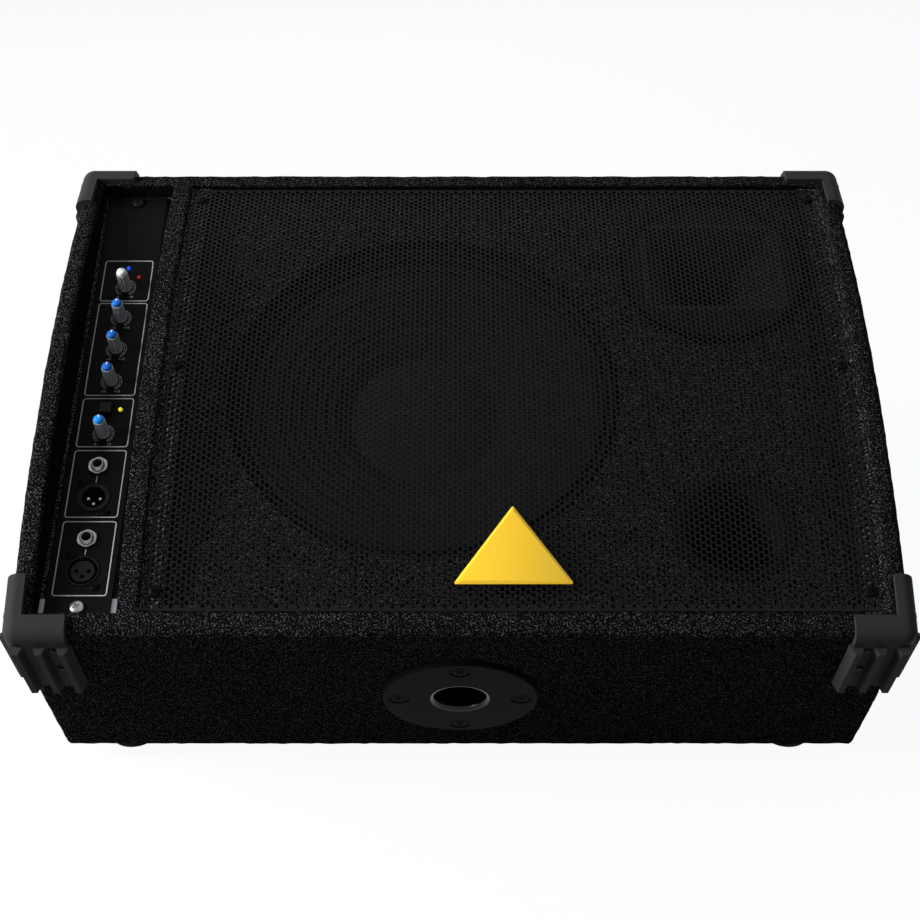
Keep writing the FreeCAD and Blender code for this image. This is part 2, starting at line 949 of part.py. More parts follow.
def badge():
    half = dim("badge_width") / 2
    height = dim("badge_height")
    corners = [(-half, -height / 2), (half, -height / 2), (asSize(0), height / 2)]
    plate = prism("badgePlate", corners, "w", 0, dim("badge_thick"))
    doc.recompute()
    upright = [
        f"Edge{i + 1}"
        for i, edge in enumerate(plate.Shape.Edges)
        if abs(edge.Vertexes[0].Z - edge.Vertexes[-1].Z) > dim("badge_thick").value / 2
    ]
    pad = plate.Tip
    fillet = plate.newObject("PartDesign::Fillet", "badgeFillet")
    fillet.Base = (pad, upright)
    bind(fillet, "Radius", dim("badge_round"))
    centre = dim("badge_low") + height / 2
    place(plate, "badge", arcSinOf((middle - centre) / bowRadius), centre, rimAt(centre, grilleTop))
    bind(plate, "Placement.Base.x", dim("badge_x"))


# ---- woofer ------------------------------------------------------------------------------

rimLow = baffleBack - dim("rim_thick")
rimInner = dim("woofer_hole") - dim("rim_overhang")
rimOuter = rimInner + dim("rim_width")
coilOuter = dim("coil_radius") + dim("coil_skin")
ledgeTop = baffleBack - dim("ledge_depth")
basketBack = baffleBack - dim("basket_depth")
neckTop = baffleBack - dim("cone_depth")


def basket():
    sheetThick = dim("basket_sheet")
    flangeLow = baffleBack - dim("basket_flange")
    coneTop = dim("woofer_hole") + sheetThick
    neck = coilOuter + dim("magnet_gap") + dim("basket_neck_gap")
    seat = rimOuter + dim("rim_gap")
    outline = [
        (dim("basket_radius"), baffleBack),
        (dim("basket_radius"), flangeLow),
        (coneTop, flangeLow),
        (dim("basket_waist") + sheetThick, ledgeTop - sheetThick),
        (dim("basket_bottom"), ledgeTop - sheetThick),
        (dim("basket_bottom"), basketBack),
        (neck, basketBack),
        (neck, basketBack + sheetThick),
        (dim("basket_bottom") - sheetThick, basketBack + sheetThick),
        (dim("basket_bottom") - sheetThick, ledgeTop),
        (dim("basket_waist"), ledgeTop),
        (rimInner, rimLow),
        (seat, rimLow),
        (seat, baffleBack),
    ]
    shell = turned("basketShell", outline, wooferX, middle)
    windows = []
    width = dim("window_width")
    windowLow = ledgeTop + dim("window_margin")
    windowHigh = flangeLow - dim("window_margin")
    for i in range(sizes["window_count"]):
        turn = asSize(360 * i / sizes["window_count"])
        window = doc.addObject("Part::Box", "basketWindow")
        window.Placement = Placement(Vector(), Rotation(axisW, turn.value))
        bind(window, "Length", dim("basket_radius"))
        bind(window, "Width", width)
        bind(window, "Height", windowHigh - windowLow)
        start = dim("basket_waist") + sheetThick
        x = wooferX + start * cosOf(turn) + width / 2 * sinOf(turn)
        v = middle + start * sinOf(turn) - width / 2 * cosOf(turn)
        bindPlace(window, x, v, windowLow)
        windows.append(window)
    place(cut("basketCut", shell, windows + wooferBores), "woofer_basket")


def surround():
    skin = dim("surround_skin")
    seat = baffleBack + dim("rim_gap")
    lip = dim("cone_radius") - dim("lip_width")
    near = dim("cone_radius") + skin
    half = (rimInner - near) / 2
    innerRadius = arcRadius(half, dim("roll_height"))
    outerRadius = arcRadius(half + skin, dim("roll_height") + skin)
    outline = [
        (lip, seat),
        (near, seat, innerRadius),
        (rimInner, seat),
        (rimInner, rimLow),
        (rimOuter, rimLow),
        (rimOuter, baffleBack),
        (rimInner + skin, baffleBack),
        (rimInner + skin, seat + skin, outerRadius),
        (near - skin, seat + skin),
        (lip, seat + skin),
    ]
    place(turned("surroundRoll", outline, wooferX, middle), "woofer_surround")


def coneParts():
    skin = dim("cone_skin")
    lip = dim("cone_radius") - dim("lip_width")
    outline = [
        (dim("cone_radius"), baffleBack),
        (dim("cone_radius"), baffleBack - skin),
        (lip + skin / 2, baffleBack - skin),
        (coilOuter, neckTop - skin),
        (coilOuter, neckTop),
        (lip, baffleBack),
    ]
    place(turned("conePaper", outline, wooferX, middle), "woofer_cone")

    capRadius = dim("cap_radius")
    capSkin = dim("cap_skin")
    rise = dim("cap_height")
    base = neckTop + (capRadius - coilOuter) * dim("cone_depth") / (lip - coilOuter)
    innerReach = capRadius - capSkin
    innerRise = rise - capSkin
    outerRadius = arcRadius(capRadius, rise)
    innerRadius = arcRadius(innerReach, innerRise)
    dome = [
        (capRadius, base),
        (innerReach, base, innerRadius),
        (0, base + innerRise),
        (0, base + rise, outerRadius),
    ]
    place(turned("capDome", dome, wooferX, middle), "woofer_dust_cap")

    plateTop = basketBack
    low = plateTop - dim("coil_reach")
    tube = [
        (dim("coil_radius"), low),
        (coilOuter, low),
        (coilOuter, neckTop),
        (dim("coil_radius"), neckTop),
    ]
    place(turned("coilTube", tube, wooferX, middle), "woofer_voice_coil")

    spiderSkin = dim("spider_skin")
    near = coilOuter + dim("spider_gap")
    far = dim("basket_waist") - dim("spider_inset")
    ring = [(near, ledgeTop), (far, ledgeTop), (far, ledgeTop + spiderSkin), (near, ledgeTop + spiderSkin)]
    place(turned("spiderRing", ring, wooferX, middle), "woofer_spider")


def magnetParts():
    top = basketBack
    plateLow = top - dim("front_plate_thick")
    magnetLow = plateLow - dim("magnet_thick")
    yokeLow = magnetLow - dim("pole_plate_thick")
    gap = coilOuter + dim("magnet_gap")
    plateEdge = dim("front_plate_radius")
    plate = [(gap, plateLow), (plateEdge, plateLow), (plateEdge, top), (gap, top)]
    place(turned("frontPlate", plate, wooferX, middle), "woofer_front_plate")
    ring = [
        (dim("magnet_hole"), magnetLow),
        (dim("magnet_radius"), magnetLow),
        (dim("magnet_radius"), plateLow),
        (dim("magnet_hole"), plateLow),
    ]
    place(turned("magnetRing", ring, wooferX, middle), "woofer_magnet")
    pole = dim("coil_radius") - dim("magnet_gap")
    yoke = [
        (dim("pole_vent"), yokeLow),
        (dim("pole_plate_radius"), yokeLow),
        (dim("pole_plate_radius"), magnetLow),
        (pole, magnetLow),
        (pole, top),
        (dim("pole_vent"), top),
    ]
    place(turned("yoke", yoke, wooferX, middle), "woofer_pole_plate")


# ---- horn and port -------------------------------------------------------------------------


def flareSection(name, width, height, level):
    sketch = doc.addObject("Sketcher::SketchObject", name)
    x = around(hornX, width)
    v = around(hornV, height)
    drawOutline(sketch, [(x[0], v[0]), (x[1], v[0]), (x[1], v[1]), (x[0], v[1])])
    bind(sketch, "Placement.Base.z", level)
    return sketch


def flare(name, mouthLevel, throatLevel, grown):
    loft = doc.addObject("Part::Loft", name)
    mouth = flareSection(
        name + "Mouth", dim("mouth_width") + grown, dim("mouth_height") + grown, mouthLevel
    )
    throat = flareSection(
        name + "Throat", dim("throat_size") + grown, dim("throat_size") + grown, throatLevel
    )
    loft.Sections = [mouth, throat]
    loft.Solid = True
    loft.Ruled = True
    return loft


def hornParts():
    face = baffleTop + dim("horn_flange_thick")
    neck = face - dim("horn_length")
    driverTop = neck - dim("horn_neck_thick")
    seat = (hornX, hornV, baffleTop)
    flange = rod("hornFlange", seat, "+w", dim("horn_flange_radius"), dim("horn_flange_thick"))
    outside = flare("hornOutside", face, neck, 2 * dim("horn_wall"))
    foot = (hornX, hornV, driverTop)
    collar = rod("hornCollar", foot, "+w", dim("horn_neck_radius"), dim("horn_neck_thick"))
    inside = flare("hornInside", face, neck, asSize(0))
    throat = around(hornX, dim("throat_size"))
    slot = block("hornThroat", throat, around(hornV, dim("throat_size")), (driverTop - carpet, neck))
    solid = fuse("hornSolid", [flange, outside, collar])
    place(cut("hornCut", solid, [inside, slot, *hornBores]), "horn_flare")

    low = driverTop - dim("driver_length")
    capLow = low - dim("driver_cap_length")
    throatLow = driverTop - dim("driver_throat_depth")
    outline = [
        (dim("driver_throat"), driverTop),
        (dim("horn_neck_radius"), driverTop),
        (dim("horn_neck_radius"), low),
        (dim("driver_cap_radius"), capLow),
        (0, capLow),
        (0, throatLow),
        (dim("driver_throat"), throatLow),
    ]
    place(turned("driverCan", outline, hornX, hornV), "compression_driver")


def driverScrews():
    screws = [screw("wooferScrew", at, "-w", wooferHead, wooferShank) for at in wooferPlaces()]
    screws += [screw("hornScrew", at, "+w", hornHead, hornShank) for at in hornPlaces()]
    place(gather("driverScrews", screws), "driver_screws")


def portTube():
    bore = dim("port_bore")
    outer = bore + dim("port_wall")
    top = baffleTop + dim("port_lip_thick")
    bottom = top - dim("port_length")
    outline = [
        (bore, bottom),
        (outer, bottom),
        (outer, baffleTop),
        (dim("port_lip"), baffleTop),
        (dim("port_lip"), top),
        (bore, top),
    ]
    place(turned("portSleeve", outline, portX, dim("port_v")), "port_tube")


# ---- pole socket ----------------------------------------------------------------------------


def poleSocket():
    bore = dim("socket_bore")
    outer = bore + dim("socket_wall")
    face = -dim("socket_flange_thick")
    chamfer = dim("socket_chamfer")
    depth = dim("socket_depth")
    floor = depth - dim("socket_bottom")
    outline = [
        (bore + chamfer, face),
        (dim("socket_flange_radius"), face),
        (dim("socket_flange_radius"), 0),
        (outer, 0),
        (outer, depth),
        (0, depth),
        (0, floor),
        (bore, floor),
        (bore, face + chamfer),
    ]
    cup = turnedAlongV("socketCup", outline, 0, dim("socket_w"))
    headRadius = dim("socket_head_radius")
    headHeight = dim("socket_head_height")
    shank = dim("wood_shank")
    length = dim("wood_shank_length")
    tools = []
    screws = []
    for at in socketPlaces():
        tools.append(taper("sinkCone", at, "+v", headRadius + screwGap, shank + screwGap, headHeight))
        tools.append(rod("sinkHole", at, "+v", shank + screwGap, length))
        head = taper("socketHead", at, "+v", headRadius, shank, headHeight)
        screws.append(fuse("socketScrew", [head, rod("socketStem", at, "+v", shank, length)]))
    place(cut("socketCut", cup, tools), "pole_socket")
    place(gather("socketScrews", screws), "pole_socket_screws")


# ---- corner guards and feet -------------------------------------------------------------------


def ribTrapezoid(centre, root, tip):
    """A rib's section: wide at its root, narrow at its tip; both are levels beside the guard."""
    base = dim("rib_base") / 2
    top = dim("rib_top") / 2
    return [(centre - base, root), (centre + base, root), (centre + top, tip), (centre - top, tip)]


def guardRibs():
    low = dim("end_depth") - dim("guard_reach")
    root = -dim("carpet_thick")
    endTip = -(frontGuard + dim("rib_end_height"))
    sideTip = halfWidth + frontGuard + dim("rib_side_height")
    ribs = []
    for i in range(3):
        along = dim("rib_first") + dim("rib_step") * i
        section = ribTrapezoid(halfWidth - along, root, endTip)
        ribs.append(prism("endRib", section, "w", low, ribTop))
        section = ribTrapezoid(along, halfWidth + root, sideTip)
        turnedSection = [(across, up) for up, across in section]
        ribs.append(prism("sideRib", turnedSection, "w", low, ribTop))
    return ribs


def cornerGuards():
    skinRound = dim("carpet_round") + frontGuard
    reach = halfWidth + frontGuard
    skin = prism("guardSkin", cabinetOutline(-frontGuard, -frontGuard), "x", -reach, reach, skinRound)
    legLow = halfWidth - dim("guard_end_leg")
    low = dim("end_depth") - dim("guard_reach")
    top = dim("end_depth") + bow
    corner = block("guardCorner", (legLow, reach), (-frontGuard, dim("guard_leg")), (low, top))
    relief = block(
        "guardRelief",
        (legLow, halfWidth - dim("guard_strip")),
        (dim("guard_lip"), dim("guard_leg")),
        (baffleTop, top),
    )
    blank = cut("guardBlank", common("guardShell", corner, skin), [relief])
    ribbed = fuse("guardRibbed", [blank, *guardRibs()])
    lowerRight = cut("guardLowerRight", ribbed, [cabinetSkin, guardBores])
    place(lowerRight, "guard_lower_right")
    plain = cut("guardPlain", ribbed, [cabinetSkin, guardBores])
    acrossX = mirrored("guardLowerLeft", plain, axisX, 0, 0)
    upperRight = mirrored("guardUpperRight", plain, axisY, 0, middle)
    upperSource = mirrored("guardUpperSource", plain, axisY, 0, middle)
    upperLeft = mirrored("guardUpperLeft", upperSource, axisX, 0, 0)
    place(acrossX, "guard_lower_left")
    place(upperRight, "guard_upper_right")
    place(upperLeft, "guard_upper_left")
    screws = [screw("guardScrew", at, facing, guardHead, guardShank) for at, facing in guardPlaces()]
    place(gather("guardScrews", screws), "guard_screws")


def rubberFeet():
    feet = []
    for x, y in footPlaces():
        radius = dim("foot_radius")
        pad = taper("footPad", (x, y, -footHeight), "+w", radius - dim("foot_taper"), radius, footHeight)
        recess = rod("footRecess", (x, y, footSeat()), "-w", dim("foot_recess"), dim("foot_recess_depth"))
        hole = rod("footBore", (x, y, footSeat()), "+w", dim("case_shank") + screwGap, footHeight)
        feet.append(cut("foot", pad, [recess, hole]))
    place(gather("rubberFeet", feet), "rubber_feet", -angle)


# ---- carrying handle ----------------------------------------------------------------------------


def handle():
    level = dim("handle_w")
    length = dim("pocket_length")
    height = dim("pocket_height")
    wall = 2 * dim("pocket_wall")
    faceV = bodyLength + dim("handle_flange")
    floorV = bodyLength - dim("pocket_depth")
    flange = block(
        "handleFlange",
        around(0, dim("handle_length")),
        (bodyLength, faceV),
        around(level, dim("handle_height")),
    )
    cup = block(
        "handleCup",
        around(0, length + wall),
        (floorV - dim("pocket_wall"), bodyLength),
        around(level, height + wall),
    )
    hollow = block("handleHollow", around(0, length), (floorV, faceV + carpet), around(level, height))
    bores = [drill("handleBore", at, "+v", caseShank) for at in handlePlaces()]
    pocket = cut("handleShell", fuse("handleSolid", [flange, cup]), [hollow, *bores])
    start = (-length / 2 - dim("pocket_wall") / 2, bodyLength - dim("grip_depth"), level)
    grip = rod("handleGrip", start, "+x", dim("grip_radius"), length + dim("pocket_wall"))
    place(fuse("handlePocket", [pocket, grip]), "handle_pocket")


# ---- control panel --------------------------------------------------------------------------------

panelUnder = panelTop - dim("panel_thick")
flangeUnder = panelUnder - dim("flange_thick")
boardTop = panelTop - dim("board_gap")
deepBoardTop = panelTop - dim("deep_board_gap")
tubWall = dim("tub_wall")
tubV = (panelV[0] + dim("tub_inset"), panelV[1] - dim("tub_inset"))
knobs = {
    "level_knob": dim("level_v"),
    "treble_knob": dim("tone_v"),
    "mid_knob": dim("tone_v") - dim("tone_step"),
    "bass_knob": dim("tone_v") - 2 * dim("tone_step"),
    "filter_knob": dim("filter_v"),
}
lampPlaces = [
    (panelX, dim("power_led_v")),
    (panelX + dim("clip_led_shift"), dim("clip_led_v")),
    (panelX + dim("filter_led_shift"), dim("filter_led_v")),
]
jackPlaces = [dim("link_jack_v"), dim("input_jack_v")]
plugPlaces = [dim("link_plug_v"), dim("input_plug_v")]
panelHead = ("panel_head_radius", "panel_head_height")
panelShank = ("small_shank", "panel_shank_length")
earHead = ("ear_head_radius", "ear_head_height")
earShank = ("ear_shank", "ear_shank_length")


def panelPlaces():
    high = panelV[1] - dim("panel_screw_top")
    low = panelV[0] + dim("panel_screw_bottom")
    return [(panelX, high, panelTop), (panelX, low, panelTop)]


def earPlaces():
    places = []
    for v in plugPlaces:
        places.append((panelX - dim("ear_screw_x"), v + dim("ear_screw_v"), panelTop))
        places.append((panelX + dim("ear_screw_x"), v - dim("ear_screw_v"), panelTop))
    return places


panelBores = [drill("panelHole", at, "+w", panelShank) for at in panelPlaces()]
earBores = [drill("earHole", at, "+w", earShank) for at in earPlaces()]


def panelRails():
    half = dim("tub_width") / 2 + dim("panel_rail_gap")
    v = (inner, bodyLength - inner)
    w = (flangeUnder - dim("panel_rail_thick"), flangeUnder)
    left = block("leftPanelRail", (-sideFace, panelX - half), v, w)
    right = block("rightPanelRail", (panelX + half, recessHigh), v, w)
    return [left, right]


def chassis():
    w = (flangeUnder, panelUnder)
    flange = block("chassisFlange", around(panelX, dim("flange_width")), panelV, w)
    footV = (panelV[0], panelV[0] + dim("foot_plate_length"))
    foot = block("chassisFoot", around(panelX, dim("foot_plate_width")), footV, w)
    tubLow = flangeUnder - dim("tub_depth")
    tub = block("chassisTub", around(panelX, dim("tub_width")), tubV, (tubLow, flangeUnder))
    hollow = block(
        "chassisHollow",
        around(panelX, dim("tub_width") - 2 * tubWall),
        (tubV[0] + tubWall, tubV[1] - tubWall),
        (tubLow + tubWall, panelTop),
    )
    solid = fuse("chassisSolid", [flange, foot, tub])
    place(cut("chassisCut", solid, [hollow, *panelBores]), "amp_chassis")


def controlPanel():
    plate = block("panelPlate", around(panelX, dim("panel_width")), panelV, (panelUnder, panelTop))
    holes = list(panelBores + earBores)
    below = panelUnder - carpet
    through = dim("panel_thick") + 2 * carpet
    for v in knobs.values():
        holes.append(rod("bushHole", (panelX, v, below), "+w", dim("bushing_radius") + screwGap, through))
    for x, v in lampPlaces:
        holes.append(rod("ledHole", (x, v, below), "+w", dim("led_radius") + screwGap, through))
    for v in jackPlaces:
        holes.append(rod("jackHole", (panelX, v, below), "+w", dim("jack_bush") + screwGap, through))
    for v in plugPlaces:
        holes.append(rod("plugHole", (panelX, v, below), "+w", dim("shell_radius") + screwGap, through))
    grown = dim("button_size") + 2 * dim("button_gap")
    x = around(buttonX, grown)
    holes.append(block("buttonHole", x, around(dim("button_v"), grown), (below, panelTop + carpet)))
    place(cut("panelCut", plate, holes), "control_panel")
    screws = [screw("panelScrew", at, "+w", panelHead, panelShank) for at in panelPlaces()]
    place(gather("panelScrews", screws), "panel_screws")


def circuitBoards():
    thick = dim("circuit_thick")
    x = around(panelX, dim("circuit_width"))
    controlV = (dim("control_board_low"), dim("control_board_high"))
    control = block("controlBoard", x, controlV, (boardTop - thick, boardTop))
    connectorV = (tubV[0] + tubWall + dim("connector_board_gap"), dim("connector_board_high"))
    connector = block("connectorBoard", x, connectorV, (deepBoardTop - thick, deepBoardTop))
    low = dim("amp_board_low")
    length = dim("amp_board_length")
    chipThick = dim("transistor_thick")
    board = block(
        "powerBoard",
        around(panelX, dim("amp_board_width")),
        (low, low + length),
        (chipThick, chipThick + thick),
    )
    chips = []
    chipX = around(panelX, dim("transistor_width"))
    for step in (1, 3):
        chipV = around(low + length * step / 4, dim("transistor_length"))
        chips.append(block("transistor", chipX, chipV, (asSize(0), chipThick)))
    power = lean(fuse("powerStage", [board, *chips]), *backTurn)
    place(gather("circuitBoards", [control, connector, power]), "circuit_boards")


def pots():
    solids = []
    size = dim("pot_size")
    for v in knobs.values():
        shoulder = boardTop + dim("pot_height")
        can = block("potCan", around(panelX, size), around(v, size), (boardTop, shoulder))
        bush = rod("potBush", (panelX, v, shoulder), "+w", dim("bushing_radius"), panelTop - shoulder)
        shaft = rod("potShaft", (panelX, v, panelTop), "+w", dim("shaft_radius"), dim("shaft_length"))
        solids.append(fuse("pot", [can, bush, shaft]))
    x = around(buttonX, size)
    v = around(dim("button_v"), size)
    solids.append(block("switchCan", x, v, (boardTop, boardTop + dim("switch_height"))))
    place(gather("potsAndSwitch", solids), "pots_and_switch")


def knob(label, v):
    low = panelTop + dim("knob_lift")
    high = low + dim("knob_height")
    bore = dim("shaft_radius") + dim("shaft_gap")
    boreTop = panelTop + dim("shaft_length") + dim("knob_lift")
    outline = [
        (bore, low),
        (dim("knob_radius"), low),
        (dim("knob_top_radius"), high),
        (0, high),
        (0, boreTop),
        (bore, boreTop),
    ]
    body = turned(label + "Body", outline, panelX, v)
    disc = dim("cap_disc_radius")
    discTop = disc - dim("cap_disc_chamfer")
    cap = taper(label + "Cap", (panelX, v, high), "+w", disc, discTop, dim("cap_disc_height"))
    place(gather(label + "Pair", [body, cap]), label)


def controls():
    for label, v in knobs.items():
        knob(label, v)
    size = dim("button_size")
    low = boardTop + dim("switch_height") + dim("button_travel") + dim("button_gap")
    x = around(buttonX, size)
    v = around(dim("button_v"), size)
    button = block("filterButton", x, v, (low, panelTop + dim("button_stand")))
    place(gather("filterButtonHeld", [button]), "filter_button")
    lamps = []
    for x, v in lampPlaces:
        top = panelTop + dim("led_stand")
        stem = rod("ledStem", (x, v, boardTop), "+w", dim("led_radius"), top - boardTop)
        dome = doc.addObject("Part::Sphere", "ledDome")
        bind(dome, "Radius", dim("led_radius"))
        bindPlace(dome, x, v, top)
        lamps.append(fuse("led", [stem, dome]))
    place(gather("indicatorLeds", lamps), "indicator_leds")


def jacks():
    bodies = []
    nuts = []
    size = dim("jack_body")
    for v in jackPlaces:
        can = block("jackCan", around(panelX, size), around(v, size), (deepBoardTop, panelUnder))
        mouth = panelTop + dim("jack_bush_stand")
        bush = rod("jackBush", (panelX, v, panelUnder), "+w", dim("jack_bush"), mouth - panelUnder)
        bore = rod("jackBore", (panelX, v, mouth), "-w", dim("jack_bore"), dim("jack_depth"))
        bodies.append(cut("jack", fuse("jackSolid", [can, bush]), [bore]))
        hexagon = doc.addObject("Part::Prism", "jackNutHex")
        hexagon.Polygon = 6
        bind(hexagon, "Circumradius", dim("nut_flats") / rootOf(asSize(3)))
        bind(hexagon, "Height", dim("nut_thick"))
        bindPlace(hexagon, panelX, v, panelTop)
        start = (panelX, v, panelUnder)
        hole = rod("jackNutHole", start, "+w", dim("jack_bush") + screwGap, 2 * dim("nut_thick"))
        nuts.append(cut("jackNut", hexagon, [hole]))
    place(gather("jackSockets", bodies), "jack_sockets")
    place(gather("jackNuts", nuts), "jack_nuts")


def contactPlaces(v):
    circle = dim("pin_circle")
    return [(panelX - circle, v), (panelX + circle, v), (panelX, v - circle)]


def connectorShell(name, v, opening):
    top = panelTop + dim("shell_stand")
    depth = dim("plug_depth")
    earLow = panelUnder - dim("ear_thick")
    earX = around(panelX, dim("ear_width"))
    ears = block(name + "Ears", earX, around(v, dim("ear_height")), (earLow, panelUnder))
    barrel = rod(name + "Barrel", (panelX, v, deepBoardTop), "+w", dim("shell_radius"), top - deepBoardTop)
    mouth = rod(name + "Mouth", (panelX, v, top), "-w", opening, depth)
    return cut(name + "Shell", fuse(name + "Solid", [ears, barrel]), [mouth, *earBores]), top - depth


def connectors():
    linkV, inputV = plugPlaces
    link, linkFloor = connectorShell("link", linkV, dim("plug_opening"))
    place(link, "xlr_link_socket")
    shell, floor = connectorShell("input", inputV, dim("groove_radius"))
    insert = rod("inputInsert", (panelX, inputV, floor), "+w", dim("insert_radius"), panelTop - floor)
    contacts = [
        rod("contactHole", (x, v, panelTop), "-w", dim("contact_hole"), dim("pin_length"))
        for x, v in contactPlaces(inputV)
    ]
    place(shell, "xlr_input_socket")
    place(cut("inputCore", insert, contacts), "xlr_input_insert")
    screws = [screw("earScrew", at, "+w", earHead, earShank) for at in earPlaces()]
    place(gather("earScrews", screws), "xlr_screws")
    pins = [
        rod("linkPin", (x, v, linkFloor), "+w", dim("pin_radius"), dim("pin_length"))
        for x, v in contactPlaces(linkV)
    ]
    place(gather("connectorPins", pins + [mainsBlades()]), "connector_pins")


# ---- rear heat sink, mains inlet and power switch ------------------------------------------------

inletB = dim("sink_low") + dim("inlet_from_low")
switchB = dim("sink_low") + dim("switch_from_low")
plateOut = -dim("sink_thick")
inletFace = plateOut - dim("inlet_flange_thick")


def mainsBlades():
    floor = inletFace + dim("inlet_mouth_depth")
    offset = dim("blade_offset")
    step = dim("blade_step")
    width = dim("blade_width")
    breadth = dim("blade_breadth")
    blades = []
    for across, along in ((-offset, -step), (-offset, step), (offset, asSize(0))):
        n = (floor - dim("blade_length"), floor)
        blades.append(block("blade", around(panelX + across, width), around(inletB + along, breadth), n))
    return lean(gather("mainsBlades", blades), *backTurn)


def heatSink():
    low = dim("sink_low")
    high = low + dim("sink_length")
    plate = block("sinkPlate", around(panelX, dim("sink_width")), (low, high), (plateOut, asSize(0)))
    solids = [plate]
    finTop = high - dim("fin_end_margin")
    n = (plateOut - dim("fin_height"), plateOut)
    for i in range(sizes["fin_count"]):
        x = panelX + dim("fin_step") * (i - (sizes["fin_count"] - 1) / 2)
        solids.append(block("sinkFin", around(x, dim("fin_thick")), (dim("fin_low"), finTop), n))
    through = (plateOut - carpet, carpet)
    grown = 2 * screwGap
    inletX = around(panelX, dim("inlet_body_width") + grown)
    inletHole = block("inletHole", inletX, around(inletB, dim("inlet_body_length") + grown), through)
    switchX = around(panelX, dim("switch_width") + grown)
    switchHole = block("switchHole", switchX, around(switchB, dim("switch_length") + grown), through)
    bores = [drill("sinkBore", at, "-w", caseShank) for at in sinkPlaces()]
    solid = cut("sinkCut", fuse("sinkSolid", solids), [inletHole, switchHole, *bores])
    place(solid, "rear_heat_sink", *backTurn)


def mainsInlet():
    flange = block(
        "inletFlange",
        around(panelX, dim("inlet_flange_width")),
        around(inletB, dim("inlet_flange_length")),
        (inletFace, plateOut),
    )
    body = block(
        "inletBody",
        around(panelX, dim("inlet_body_width")),
        around(inletB, dim("inlet_body_length")),
        (plateOut, plateOut + dim("inlet_body_depth")),
    )
    mouth = block(
        "inletMouth",
        around(panelX, dim("inlet_mouth_width")),
        around(inletB, dim("inlet_mouth_length")),
        (inletFace, inletFace + dim("inlet_mouth_depth")),
    )
    place(cut("inletCut", fuse("inletSolid", [flange, body]), [mouth]), "power_inlet", *backTurn)


def powerSwitch():
    lip = dim("switch_lip")
    face = plateOut - lip
    width = dim("switch_width")
    length = dim("switch_length")
    depth = plateOut + dim("switch_depth")
    rimX = around(panelX, width + 2 * lip)
    rim = block("switchRim", rimX, around(switchB, length + 2 * lip), (face, plateOut))
    body = block("switchBody", around(panelX, width), around(switchB, length), (plateOut, depth))
    gap = dim("rocker_gap")
    cavityX = around(panelX, dim("rocker_width") + 2 * gap)
    cavityB = around(switchB, 2 * (dim("rocker_radius") + gap))
    cavity = block("switchCavity", cavityX, cavityB, (face, depth - dim("switch_floor")))
    place(cut("switchCut", fuse("switchSolid", [rim, body]), [cavity]), "switch_frame", *backTurn)

    radius = dim("rocker_radius")
    x = around(panelX, dim("rocker_width"))
    drum = rod("rockerDrum", (x[0], asSize(0), asSize(0)), "+x", radius, dim("rocker_width"))
    outline = [
        (-radius, radius),
        (-radius, -dim("rocker_stand")),
        (asSize(0), -dim("rocker_ridge")),
        (radius, -dim("rocker_stand")),
        (radius, radius),
    ]
    keys = prism("rockerKeys", outline, "x", x[0], x[1])
    rocker = common("rocker", drum, keys)
    pivot = dim("rocker_pivot")
    v = middle + switchB * cosOf(angle) - pivot * sinOf(angle)
    w = switchB * sinOf(angle) + pivot * cosOf(angle) - middle * slope
    place(rocker, "switch_rocker", angle - dim("rocker_tilt"), v, w)


def transformer():
    at = (-sideFace, dim("transformer_v"), dim("transformer_w"))
    ring = rod("coreRing", at, "+x", dim("transformer_radius"), dim("transformer_thick"))
    hole = rod("coreHole", at, "+x", dim("transformer_hole"), dim("transformer_thick"))
    place(cut("core", ring, [hole]), "mains_transformer")


def caseScrews():
    screws = [screw("handleScrew", at, "+v", caseHead, caseShank) for at in handlePlaces()]
    sink = [screw("sinkScrew", at, "-w", caseHead, caseShank) for at in sinkPlaces()]
    feet = [screw("footScrew", (x, y, footSeat()), "-w", caseHead, caseShank) for x, y in footPlaces()]
    leaned = lean(gather("sinkScrews", sink), *backTurn)
    stood = lean(gather("footScrews", feet), *floorTurn)
    place(gather("caseScrews", screws + [leaned, stood]), "case_screws")


# ---- build, check and write ----------------------------------------------------------------------

boards()
carpetCovering()
baffleBoard()
grilleParts()
badge()
basket()
surround()
coneParts()
magnetParts()
hornParts()
driverScrews()
portTube()
poleSocket()
cornerGuards()
rubberFeet()
handle()
chassis()
controlPanel()
circuitBoards()
pots()
controls()
jacks()
connectors()
heatSink()
mainsInlet()
powerSwitch()
transformer()
caseScrews()
doc.recompute()

for item in doc.Objects:
    if "Invalid" in item.State or "Error" in item.State:
        raise RuntimeError(f"{item.Name} ({item.Label}) failed: {item.State}")
for piece in pieces:
    if piece.Shape.isNull() or not piece.Shape.isValid():
        raise RuntimeError(f"{piece.Label} has no valid shape")
    if not piece.Shape.Solids:
        raise RuntimeError(f"{piece.Label} has no solid")

os.makedirs("parts", exist_ok=True)
for piece in pieces:
    piece.Shape.exportStep(os.path.join("parts", piece.Label + ".step"))
print(len(pieces), "sub-parts")
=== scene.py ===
import math
from collections import Counter

import bmesh
import bpy
from mathutils import Matrix, Vector, noise


